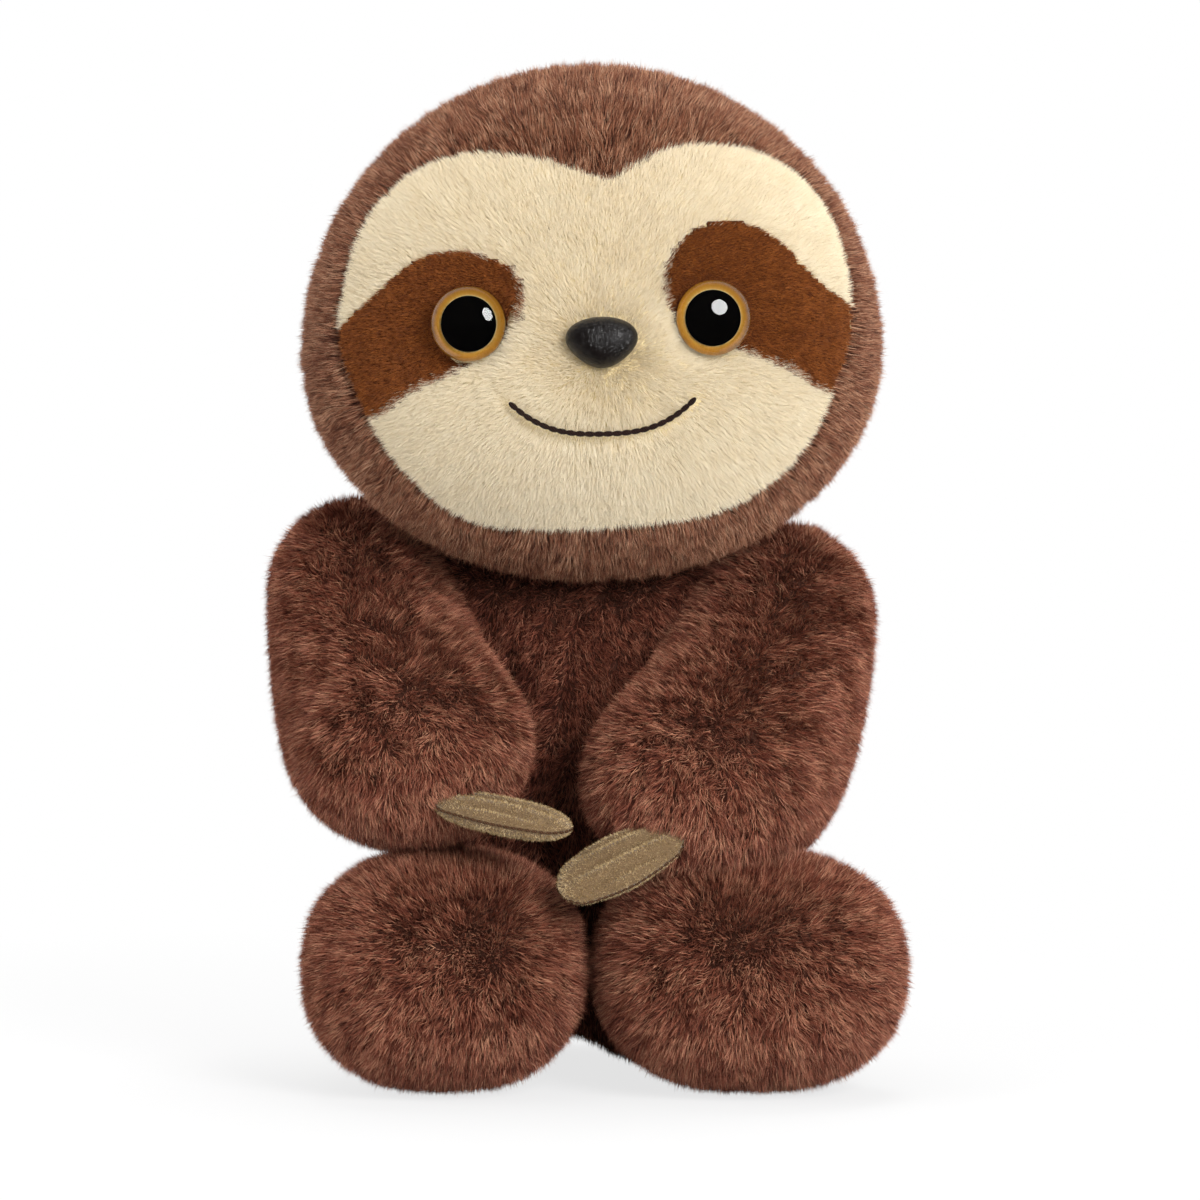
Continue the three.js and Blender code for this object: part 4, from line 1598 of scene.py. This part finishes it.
@dataclass
class Eye:
    """A clear dome over a painted iris and pupil, on a post through the cloth."""

    side: Side
    head: HeadForm
    dressing: Dressing
    out: float = 31.9
    above: float = 8.9
    radius: float = 10.0
    dome_height: float = 5.6
    rim_height: float = 1.2
    sink: float = 4.2
    turn_degrees: float = 11.0
    iris_radius: float = 9.5
    iris_thickness: float = 1.4
    pupil_radius: float = 6.3
    pupil_thickness: float = 0.5
    post_radius: float = 2.4
    post_length: float = 11.0
    gap: float = 0.3
    bevel: float = 0.35
    pupil_bevel: float = 0.2
    overlap: float = 0.1
    crown_rows: int = 28
    steps: int = 96

    def place(self, points: Points) -> Points:
        """Points of the eye's own frame, in the design frame.

        Args:
            points: in the eye's frame.

        Returns:
            The places.
        """
        x = self.side.value * self.out
        turn = Matrix.Rotation(math.radians(self.side.value * self.turn_degrees), 3, "Z")
        middle = np.array((x, self.head.face_y(x, self.above) + self.sink, self.above))
        return self.head.in_design(points @ np.array(turn).T + middle)

    def seat_y(self, over: float) -> float:
        """How far back the cloth lies under the eye.

        Args:
            over: how far to the side of the eye's middle.

        Returns:
            The place along Y.
        """
        middle = self.head.face_y(self.side.value * self.out, self.above) + self.sink
        slope = math.tan(math.radians(self.side.value * self.turn_degrees))
        return middle - 0.6 * self.iris_thickness + over * slope

    def build(self) -> None:
        """Makes the iris on its post, the pupil and the dome."""
        front = -self.iris_thickness
        bevel = self.bevel
        iris = [
            (0, front), *((self.iris_radius * share, front) for share in (0.4, 0.7, 0.8)),
            (self.iris_radius - bevel, front), (self.iris_radius, front + bevel), (self.iris_radius, 0),
            (self.post_radius, 0), (self.post_radius, self.post_length - bevel),
            (self.post_radius - bevel, self.post_length), (0, self.post_length),
        ]
        pupil_back = front - self.gap
        pupil_front = pupil_back - self.pupil_thickness
        pupil = [
            (0, pupil_front), (self.pupil_radius - self.pupil_bevel, pupil_front),
            (self.pupil_radius, pupil_front + self.pupil_bevel), (self.pupil_radius, pupil_back),
            (0, pupil_back),
        ]
        # The clear piece holds the paint, as moulded eyes do, so no air shows between them
        dome_back = front + self.overlap
        rim = pupil_front - self.gap - self.rim_height
        crown = [
            (self.radius * math.cos(a), rim - self.dome_height * math.sin(a))
            for a in np.linspace(0, math.pi / 2, self.crown_rows)[:-1]
        ]
        dome = [
            (0, dome_back), (self.radius - bevel, dome_back), (self.radius, dome_back - bevel), *crown,
            (0, rim - self.dome_height),
        ]
        parts = (
            ("iris_post", iris, self.dressing.iris, "iris_plastic"),
            ("pupil", pupil, self.dressing.pupil, "pupil_plastic"),
            ("clear_dome", dome, self.dressing.acrylic, "clear_plastic"),
        )
        for word, profile, finish, slot in parts:
            shape = turned(profile, self.steps)
            self.map_paint(shape)
            name = f"eye_{self.side.word}_{word}_round"
            mesh = plain_mesh(name, shape, self.place)
            Piece(name, mesh, [finish], "head", slot, [f"eye_{self.side.word}_{word}"]).show()

    def map_paint(self, shape: Shape) -> None:
        """Keeps each corner's radius and angle in a UV map, for the paint's bands.

        Args:
            shape: a turned part of the eye.
        """
        layer = shape.loops.layers.uv.new("PaintMap")
        for face in shape.faces:
            middle = face.calc_center_median()
            base = math.atan2(middle.z, middle.x)
            for loop in face.loops:
                co, full = loop.vert.co, 2 * math.pi
                off_axis = co.xz.length > 0.01
                swing = (math.atan2(co.z, co.x) - base + math.pi) % full - math.pi if off_axis else 0.0
                loop[layer].uv = (co.xz.length / self.radius, (base + swing) / full)


@dataclass
class Nose:
    """A moulded nose, a rounded triangle on its point, with a post."""

    head: HeadForm
    dressing: Dressing
    x: float = 2.8
    above: float = 3.2
    half_width: float = 9.4
    half_height: float = 6.8
    half_depth: float = 5.2
    proud: float = 5.6
    taper: float = 0.28
    brow_share: float = 0.65
    sink: float = 4.4
    post_radius: float = 2.4
    post_length: float = 11.0

    def at(self, ball: Vector) -> Vector:
        """Where a point of the unit ball lies on the nose.

        Args:
            ball: the point.

        Returns:
            The place.
        """
        wide = self.half_width * (1 + self.taper * ball.z * (1.0 if ball.z < 0 else self.brow_share))
        centre = self.head.face_y(self.x, self.above) - self.proud + self.half_depth
        return Vector((
            self.x + ball.x * wide, centre + ball.y * self.half_depth, self.above + ball.z * self.half_height
        ))

    def build(self) -> None:
        """Makes the nose and its post."""
        shape = moulded(self.at, 56, 40)
        start = self.head.face_y(self.x, self.above) + self.sink
        middle = Matrix.Translation((self.x, start + self.post_length / 2, self.above))
        place = middle @ Matrix.Rotation(math.pi / 2, 4, "X")
        bmesh.ops.create_cone(
            shape, cap_ends=True, segments=24, radius1=self.post_radius, radius2=self.post_radius,
            depth=self.post_length, matrix=place,
        )
        mesh = plain_mesh("nose_moulded", shape, self.head.in_design)
        Piece("nose_moulded", mesh, [self.dressing.nose], "head", "nose_plastic", ["nose"]).show()


@dataclass
class Mouth:
    """The smile: short stitches of thread on a shallow arc."""

    head: HeadForm
    dressing: Dressing
    x: float = 2.6
    half_width: float = 24.5
    below: float = 21.0
    rise: float = 8.7
    power: float = 2.8
    thread: float = 0.78
    stitch: float = 2.4

    def z_at(self, x: Points) -> Points:
        """The height of the arc at a place across the face."""
        return -self.below + self.rise * (np.abs(x - self.x) / self.half_width) ** self.power

    def build(self) -> None:
        """Makes the row of stitches."""
        path = []
        for over in np.linspace(-1, 1, 60):
            x = self.x + over * self.half_width
            z = float(self.z_at(x))
            path.append(Vector((x, self.head.face_y(x, z) - 0.1, z)))
        row = sewn_along(path, self.stitch, STITCH_SHARE, self.thread)
        mesh = plain_mesh("mouth_stitches", row, self.head.in_design)
        nodes = ["mouth_stitching"]
        Piece(mesh.name, mesh, [self.dressing.mouth_thread], "head", "thread", nodes).show()


@dataclass
class Head:
    """The head's brown covers, cream face, rust eye patches, eyes, nose, mouth and filling."""

    form: HeadForm
    dressing: Dressing
    neighbours: list[BVHTree]
    seam_x: float = 5.0
    face_depth: float = 2.4
    patch_depth: float = 1.5
    lap: float = 4.0
    arms_reach: float = 175.0
    seat_margin: float = 4.0
    seat_slope: float = 3.0
    rim_lap: float = 0.2
    eye_start: float = 0.65
    eye_reach: float = 7.0
    nose_bare: float = 0.8
    nose_start: float = 0.6
    nose_rate: float = 1.2
    mouth_bare: float = 0.7
    mouth_start: float = 0.35
    mouth_reach: float = 5.0
    seam_reach: float = 5.0
    edge_reach: float = 8.0
    face_spread: float = 24.0
    patch_whorl: float = 34.0
    face_shares: tuple[tuple[float, float], ...] = (
        (0.07, 0.57), (0.13, 0.6), (0.25, 0.665), (0.4, 0.685), (0.58, 0.65), (0.73, 0.55), (0.82, 0.39),
        (0.86, 0.19), (0.86, 0.03), (0.79, -0.19), (0.67, -0.45), (0.43, -0.655), (0.03, -0.715),
        (-0.39, -0.69), (-0.61, -0.49), (-0.74, -0.25), (-0.83, 0.02), (-0.82, 0.2), (-0.76, 0.41),
        (-0.66, 0.55), (-0.52, 0.64), (-0.35, 0.675), (-0.16, 0.645), (0, 0.59),
    )
    left_patch_shares: tuple[tuple[float, float], ...] = (
        (0.24, 0.25), (0.3, 0.365), (0.36, 0.41), (0.49, 0.43), (0.63, 0.36), (0.76, 0.22), (0.89, 0.1),
        (0.85, -0.16), (0.75, -0.165), (0.66, -0.09), (0.5, 0), (0.37, 0.04), (0.27, 0.09),
    )
    right_patch_shares: tuple[tuple[float, float], ...] = (
        (-0.23, 0.26), (-0.22, 0.17), (-0.28, 0.04), (-0.41, -0.04), (-0.6, -0.14), (-0.74, -0.25),
        (-0.86, -0.2), (-0.89, 0.02), (-0.82, 0.12), (-0.73, 0.2), (-0.58, 0.32), (-0.43, 0.355),
        (-0.29, 0.31),
    )

    def __post_init__(self) -> None:
        """Works out the outlines and the parts that the pile leaves room for."""
        self.face_line = self.form.outline(self.face_shares)
        self.patch_lines = {
            Side.LEFT: self.form.outline(self.left_patch_shares),
            Side.RIGHT: self.form.outline(self.right_patch_shares),
        }
        self.eyes = [Eye(side, self.form, self.dressing) for side in Side]
        self.nose = Nose(self.form, self.dressing)
        self.mouth = Mouth(self.form, self.dressing)

    def seen(self, points: Points) -> Points:
        """Points as seen from the front."""
        return points[:, [0, 2]]

    def in_face(self, points: Points) -> Points:
        """Whether points lie on the cream face or its patches."""
        return (points[:, 1] < 0) & inside_outline(self.seen(points), self.face_line)

    def in_patch(self, points: Points, side: Side) -> Points:
        """Whether points lie on one eye patch."""
        return self.in_face(points) & inside_outline(self.seen(points), self.patch_lines[side])

    def deep_in(self, points: Points, inside: Points, line: Points) -> Points:
        """Which of the points inside an outline lie further in than the seam's lap."""
        return inside & (outline_distance(self.seen(points), line) > self.lap)

    def seat_eyes(self, shape: Shape) -> None:
        """Draws the cloth in under each eye, as the eye's lock washer does.

        Args:
            shape: the head's skin, which is changed.
        """
        for eye in self.eyes:
            for vert in shape.verts:
                over, up = vert.co.x - eye.side.value * eye.out, vert.co.z - eye.above
                inward = eye.radius + self.seat_margin - math.hypot(over, up)
                drawn = min(1.0, max(0.0, inward / self.seat_slope))
                if vert.co.y < 0:
                    vert.co.y += drawn * max(0.0, eye.seat_y(over) - vert.co.y)

    def clear_of_features(self, points: Points) -> Points:
        """The share of the pile's length that the eyes, nose and mouth leave.

        Args:
            points: the tufts' roots.

        Returns:
            The shares.
        """
        nose, mouth = self.nose, self.mouth
        share = np.ones(len(points))
        for eye in self.eyes:
            off = np.hypot(points[:, 0] - eye.side.value * eye.out, points[:, 2] - eye.above)
            rise = np.clip(self.eye_start + (off - eye.radius) / self.eye_reach, 0.0, 1.0)
            share *= np.where(off < eye.radius - self.rim_lap, 0.0, rise)
        up = (points[:, 2] - nose.above) / nose.half_height
        wide = nose.half_width * (1 + nose.taper * np.clip(up, -1, 1))
        off = np.hypot((points[:, 0] - nose.x) / wide, up)
        rise = np.clip(self.nose_start + (off - self.nose_bare) * self.nose_rate, 0.0, 1.0)
        share *= np.where(off < self.nose_bare, 0.0, rise)
        off = np.abs(points[:, 2] - mouth.z_at(points[:, 0])) * 0.9
        off = np.hypot(off, np.maximum(np.abs(points[:, 0] - mouth.x) - mouth.half_width, 0))
        # A few strands stray over the thread
        bare = (off < self.mouth_bare) & (drift(points, 1.4, 8) < 0.9)
        return share * np.where(bare, 0.0, np.clip(self.mouth_start + off / self.mouth_reach, 0.0, 1.0))

    def back_comb(self, points: Points) -> Points:
        """Back from the face, down behind, and away from the centre seam.

        Args:
            points: the tufts' roots.

        Returns:
            The ways there.
        """
        off = points[:, :1] - self.seam_x
        seam = np.sign(off) * np.exp(-np.abs(off) / self.seam_reach)
        lateral = np.concatenate([seam, np.zeros((len(points), 2))], axis=1)
        edge = outline_distance(self.seen(points), self.face_line)
        front = (points[:, 1] < 0).astype(float) * np.exp(-edge / self.edge_reach)
        return (np.array([0.0, 1.0, -0.35]) + 0.25 * lateral) * (1 - 0.8 * front)[:, None]

    def face_comb(self, points: Points) -> Points:
        """Out from the nose."""
        return (points - np.array([self.nose.x, -self.form.front, self.nose.above - 4.0])) / self.face_spread

    def brown_cover(self, points: Points) -> Points:
        """The brown pile's length share: none on the face, less along the seam.

        Args:
            points: the tufts' roots.

        Returns:
            The shares.
        """
        share = np.where(self.in_face(points), 0.0, 1.0)
        share *= np.clip(0.9 + np.abs(points[:, 0] - self.seam_x) / 20.0, 0.0, 1.0)
        placed = self.form.in_design(points)
        low = placed[:, 2] < self.arms_reach
        share[low] = np.minimum(share[low], pressed(placed[low], self.neighbours, HEAD_PILE.length))
        return share

    def cream_cover(self, points: Points) -> Points:
        """The cream pile's length share: only on the face off the patches, less at its edge and features.

        Args:
            points: the tufts' roots.

        Returns:
            The shares.
        """
        on = self.in_face(points)
        for side in Side:
            on &= ~self.in_patch(points, side)
        edge = outline_distance(self.seen(points), self.face_line)
        return np.where(on, np.clip(0.8 + edge / 12.0, 0.0, 1.0), 0.0) * self.clear_of_features(points)

    def build(self) -> None:
        """Makes the whole head."""
        self.build_brown()
        self.build_cream()
        for side in Side:
            self.build_patch(side)
        for eye in self.eyes:
            eye.build()
        self.nose.build()
        self.mouth.build()
        inside = moulded(lambda ball: self.form.at(ball, FILLING_DEPTH), 40, 28)
        mesh = plain_mesh("head_filling", inside, self.form.in_design)
        Piece(mesh.name, mesh, [self.dressing.filling], "head", "filling", ["head_stuffing"], 0.9).show()

    def build_brown(self) -> None:
        """Makes the left and right brown covers."""
        shape = moulded(lambda ball: self.form.at(ball, COVER_DEPTH), 96, 64)
        pile = HEAD_PILE.grow(Skin.of(shape), self.back_comb, self.brown_cover, 10)
        left = pile.roots[:, 0] > self.seam_x
        for side, wanted in ((Side.LEFT, True), (Side.RIGHT, False)):
            def keep(places: Points) -> Points:
                """Whether this cover has the places, with its lap under the face."""
                under = self.deep_in(places, self.in_face(places), self.face_line)
                return ((places[:, 0] > self.seam_x) == wanted) & ~under

            strands = pile.where(left == wanted)
            self.show_cover(f"head_{side.word}", shape, keep, strands, self.dressing.head_pile, "head_pile")
        shape.free()

    def build_cream(self) -> None:
        """Makes the cream face."""
        shape = moulded(lambda ball: self.form.at(ball, self.face_depth), 150, 100)
        self.seat_eyes(shape)
        pile = FACE_PILE.grow(Skin.of(shape), self.face_comb, self.cream_cover, 20)

        def keep(places: Points) -> Points:
            """Whether the face has the places, with its lap under the patches.

            Args:
                places: where.

            Returns:
                One truth value a place.
            """
            on = self.in_face(places)
            for side in Side:
                on &= ~self.deep_in(places, self.in_patch(places, side), self.patch_lines[side])
            return on

        self.show_cover("face", shape, keep, pile, self.dressing.face_pile, "face_pile")
        shape.free()

    def build_patch(self, side: Side) -> None:
        """Makes one rust eye patch.

        Args:
            side: which.
        """
        shape = moulded(lambda ball: self.form.at(ball, self.patch_depth), 190, 130)
        self.seat_eyes(shape)

        def cover(points: Points) -> Points:
            """The velvet's length share."""
            return np.where(self.in_patch(points, side), self.clear_of_features(points), 0.0)

        def comb(points: Points) -> Points:
            """Out and down from the nose."""
            return points - np.array([self.nose.x, -self.form.front, self.patch_whorl])

        pile = PATCH_PILE.grow(Skin.of(shape), comb, cover, 30 + side.value)
        self.show_cover(
            f"eye_patch_{side.word}", shape, lambda places: self.in_patch(places, side), pile,
            self.dressing.patch_pile, "patch_pile",
        )
        shape.free()

    def show_cover(
        self, name: str, shape: Shape, keep: Cover, pile: Strands,
        finishes: Sequence[Material], slot: str,
    ) -> None:
        """Makes one cover of the head from its skin and pile.

        Args:
            name: the cover's name, without its last word.
            shape: the skin that it is cut from.
            keep: whether the cover has a place.
            pile: its strands.
            finishes: the cloth's and the fibres' materials.
            slot: the record's material slot.
        """
        cloth = panel_of(shape, keep, CLOTH_THICKNESS)
        mesh = plush_mesh(f"{name}_cover", cloth, pile, self.form.in_design)
        cloth.free()
        node = name if name.startswith("eye_patch") else f"{name}_panel"
        Piece(mesh.name, mesh, finishes, "head", slot, [node], HEAD_FILL).show()


@dataclass
class NeckSeam:
    """The ring of stitches that closes the neck."""

    dressing: Dressing
    centre: Vector = Vector((-6.0, 5.0, 134.6))
    radius: float = 17.0
    thread: float = 0.9
    stitch: float = 4.0

    def build(self) -> None:
        """Makes the ring."""
        path = [
            self.centre + Vector((self.radius * math.cos(a), self.radius * math.sin(a), 0))
            for a in np.linspace(0, 2 * math.pi, 120)
        ]
        mesh = plain_mesh("neck_stitches", sewn_along(path, self.stitch, STITCH_SHARE, self.thread))
        nodes = ["neck_stitching"]
        Piece(mesh.name, mesh, [self.dressing.cover_thread], "neck", "thread", nodes).show()


@dataclass
class Studio:
    """A white floor and world, soft lamps and the camera at the photograph's angle."""

    middle: Vector = Vector((0.00486, 0.0, 0.1317))
    elevation_degrees: float = 3.0
    lens: float = 180.0
    sensor: float = 36.0
    frame_width: float = 0.3307
    world_level: float = 0.5
    front_gloss: float = 0.03
    lamp_reach: float = 1.3
    floor_radius: float = 3.0
    floor_fade: tuple[float, float] = (0.1, 0.4)
    floor_glow: float = 0.76
    dark_cloth: tuple[float, float] = (-0.09, -0.05)

    def build(self) -> None:
        """Makes the studio."""
        scene = bpy.context.scene
        scene.view_settings.view_transform = "Standard"
        data = bpy.data.cameras.new("camera")
        data.lens, data.sensor_width, data.sensor_fit = self.lens, self.sensor, "HORIZONTAL"
        data.clip_start, data.clip_end = 0.05, 20.0
        away = self.frame_width * self.lens / self.sensor
        scene.camera = self.aimed("camera", data, 0, self.elevation_degrees, away)
        self.lamp("key_softbox", azimuth=27, elevation=22, size=0.62, power=17.0)
        fill = self.lamp("fill_softbox", azimuth=-60, elevation=25, size=0.9, power=6.0)
        top = self.lamp("top_softbox", azimuth=170, elevation=75, size=0.9, power=11.0)
        fill.visible_glossy = top.visible_glossy = False
        self.light_world()
        self.lay_floor()

    def aimed(self, name: str, data: bpy.types.ID, azimuth: float, elevation: float, away: float) -> Object:
        """Adds a camera or lamp aimed at the toy's middle.

        Args:
            name: the object's name.
            data: its camera or light.
            azimuth: degrees to the viewer's right of the toy's front.
            elevation: degrees above level.
            away: how far off it stands, in metres.

        Returns:
            The object.
        """
        made = bpy.data.objects.new(name, data)
        turn, rise = math.radians(azimuth), math.radians(elevation)
        way = Vector((math.sin(turn) * math.cos(rise), -math.cos(turn) * math.cos(rise), math.sin(rise)))
        made.location = self.middle + way * away
        made.rotation_mode = "QUATERNION"
        made.rotation_quaternion = (-way).to_track_quat("-Z", "Y")
        bpy.context.scene.collection.objects.link(made)
        return made

    def lamp(self, name: str, azimuth: float, elevation: float, size: float, power: float) -> Object:
        """Adds a round lamp aimed at the toy.

        Args:
            name: the lamp's name.
            azimuth: degrees to the viewer's right of the toy's front.
            elevation: degrees above level.
            size: how wide it is, in metres.
            power: in watts.

        Returns:
            The lamp.
        """
        data = bpy.data.lights.new(name, "AREA")
        data.shape, data.size, data.energy = "DISK", size, power
        return self.aimed(name, data, azimuth, elevation, self.lamp_reach)

    def light_world(self) -> None:
        """A soft even world; the camera, gloss and clear pieces see in it a white backdrop behind the toy."""
        world = bpy.data.worlds.new("studio_world")
        bpy.context.scene.world = world
        world.use_nodes = True
        tree = world.node_tree
        tree.nodes.clear()
        ray = add_node(tree, "LightPath").outputs
        camera = seen = ray["Is Camera Ray"]
        for kind in ("Is Glossy Ray", "Is Transmission Ray"):
            seen = add_node(tree, "Math", {0: seen, 1: ray[kind]}, operation="MAXIMUM").outputs["Value"]
        generated = add_node(tree, "TexCoord").outputs["Generated"]
        back = add_node(tree, "SeparateXYZ", {"Vector": generated}).outputs["Y"]
        behind = add_node(tree, "MapRange", {"Value": back, "From Max": 0.4, "To Min": self.front_gloss})
        level = add_node(tree, "Math", {0: behind.outputs["Result"], 1: camera}, operation="MAXIMUM")
        soft = add_node(tree, "Background", {"Color": (1, 1, 1, 1), "Strength": self.world_level})
        white = add_node(tree, "Background", {"Color": (1, 1, 1, 1), "Strength": level.outputs["Value"]})
        shaders = {0: seen, 1: soft.outputs["Background"], 2: white.outputs["Background"]}
        both = add_node(tree, "MixShader", shaders)
        add_node(tree, "OutputWorld", {"Surface": both.outputs["Shader"]})

    def lay_floor(self) -> None:
        """A round white floor that keeps the toy's shadow and fades to plain white further out."""
        shape = bmesh.new()
        bmesh.ops.create_circle(shape, cap_ends=True, segments=96, radius=self.floor_radius)
        mesh = bpy.data.meshes.new("studio_floor")
        shape.to_mesh(mesh)
        shape.free()
        floor = bpy.data.objects.new("studio_floor", mesh)
        bpy.context.scene.collection.objects.link(floor)
        paper = {"Base Color": linear("e2e2e2"), "Roughness": 0.9, "Specular IOR Level": 0.1}
        work = Finish("studio_floor_white_paper", paper)
        tree = work.tree
        ray = add_node(tree, "LightPath").outputs
        away = add_node(tree, "VectorMath", {0: work.place}, operation="LENGTH").outputs["Value"]
        near, far = self.floor_fade
        fade = {"Value": away, "From Min": near, "From Max": far, "To Min": self.floor_glow}
        glow = add_node(tree, "Emission", {"Color": (1, 1, 1, 1), "Strength": 1.0})
        lit = self.where_seen(tree, fade, ray["Is Camera Ray"], work.shader.outputs["BSDF"], glow)
        # Gloss sees a dark cloth on the floor in front of the toy, as studios lay one for black eyes
        ahead = add_node(tree, "SeparateXYZ", {"Vector": work.place}).outputs["Y"]
        start, end = self.dark_cloth
        fade = {"Value": ahead, "From Min": start, "From Max": end, "To Min": 1.0, "To Max": 0.0}
        dark = add_node(tree, "Emission", {"Strength": 0.02})
        seen = self.where_seen(tree, fade, ray["Is Glossy Ray"], lit, dark)
        tree.links.new(seen, work.output.inputs["Surface"])
        mesh.materials.append(work.material)

    def where_seen(self, tree: Tree, fade: dict[str, Any], ray: Socket, base: Socket, over: Node) -> Socket:
        """Lays an emission over a shader for one kind of ray.

        Args:
            tree: the floor's node tree.
            fade: the inputs of the range that gives its share.
            ray: the kind of ray.
            base: the shader underneath.
            over: the emission's node.

        Returns:
            The mixed shader.
        """
        share = add_node(tree, "MapRange", fade).outputs["Result"]
        seen = add_node(tree, "Math", {0: share, 1: ray}, operation="MULTIPLY").outputs["Value"]
        mixed = add_node(tree, "MixShader", {0: seen, 1: base, 2: over.outputs["Emission"]})
        return mixed.outputs["Shader"]


def main() -> None:
    """Builds the studio and the toy's sub-assemblies in order."""
    logging.basicConfig(level=logging.INFO, format="%(name)s: %(message)s", stream=sys.stdout)
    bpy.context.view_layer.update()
    Studio().build()
    dressing = Dressing()
    torso = TorsoForm()
    out = torso.half_width * SHOULDER_SHARE + ARM_GAP + ArmForm.shoulder_radius
    right, left = torso.x - out, torso.x + out
    arms = {
        Side.RIGHT: ArmForm(
            Side.RIGHT, Vector((right, 10, 133)), Vector((right + 17.5, -52, 95.1)), 33.0, 29.0,
            elbow_drop=7.0,
        ),
        Side.LEFT: ArmForm(Side.LEFT, Vector((left, 10, 126)), Vector((left - 24.5, -52, 85.1)), 33.5, 30.0),
    }
    legs = {
        Side.RIGHT: LegForm(Side.RIGHT, Vector((-40, -16, 29.5)), Vector((-40.3, -50, 33.4)), 39.5),
        Side.LEFT: LegForm(Side.LEFT, Vector((28, -16, 29.5)), Vector((42.8, -50, 33.4)), 43.5),
    }
    right_claw = (10.0, 17.0, Vector((34, -11, -6)), Vector((0.15, -0.22, 0.95)))
    left_claw = (9.0, 16.0, Vector((-29, -4, -14)), Vector((-0.1, -0.7, 0.7)))
    claws = {
        Side.RIGHT: Claw(Side.RIGHT, arms[Side.RIGHT], *right_claw, dressing),
        Side.LEFT: Claw(Side.LEFT, arms[Side.LEFT], *left_claw, dressing, length=36.0),
    }
    arm_parts = {
        side: Arm(form, f"arm_{side.word}", dressing, 60 + side.value) for side, form in arms.items()
    }
    whorls = {Side.RIGHT: 28.0, Side.LEFT: 3.0}
    leg_parts = {
        side: Leg(form, f"leg_{side.word}", dressing, 70 + side.value, whorl_over=whorls[side])
        for side, form in legs.items()
    }
    arm_shapes = {side: part.skin_shape() for side, part in arm_parts.items()}
    leg_shapes = {side: part.skin_shape() for side, part in leg_parts.items()}
    arm_trees = {side: Skin.of(shape).tree() for side, shape in arm_shapes.items()}
    claw_trees = {}
    for side, claw in claws.items():
        pad = claw.shape()
        claw_trees[side] = Skin.of(pad).tree()
        pad.free()
    for side, shape in leg_shapes.items():
        give_way(shape, [arm_trees[side]], Vector((0, 0.15, -1)).normalized(), ARM_REST_GAP)
    leg_trees = {side: Skin.of(shape).tree() for side, shape in leg_shapes.items()}
    splayed = [Skin.of(shape).at_limit(f"leg_{side.word}_splay") for side, shape in leg_shapes.items()]
    for side, part in arm_parts.items():
        part.neighbours = [leg_trees[side]]
        part.hard_neighbours = [claw_trees[side]]
        part.build(arm_shapes[side], part.comb)
    for side, part in leg_parts.items():
        part.neighbours = [arm_trees[side]]
        part.hard_neighbours = list(claw_trees.values())
        part.build(leg_shapes[side], part.comb)
    Torso(torso, dressing, [*leg_trees.values(), *arm_trees.values()]).build([*leg_trees.values(), *splayed])
    Head(HeadForm(), dressing, list(arm_trees.values())).build()
    for claw in claws.values():
        claw.build()
    NeckSeam(dressing).build()
    for name, node in frame["nodes"].items():
        if name.endswith("washer"):
            node.data.materials.clear()
            node.data.materials.append(dressing.washer)
            log.info("%s keeps its CAD shape", name)


if __name__ == "__main__":
    main()
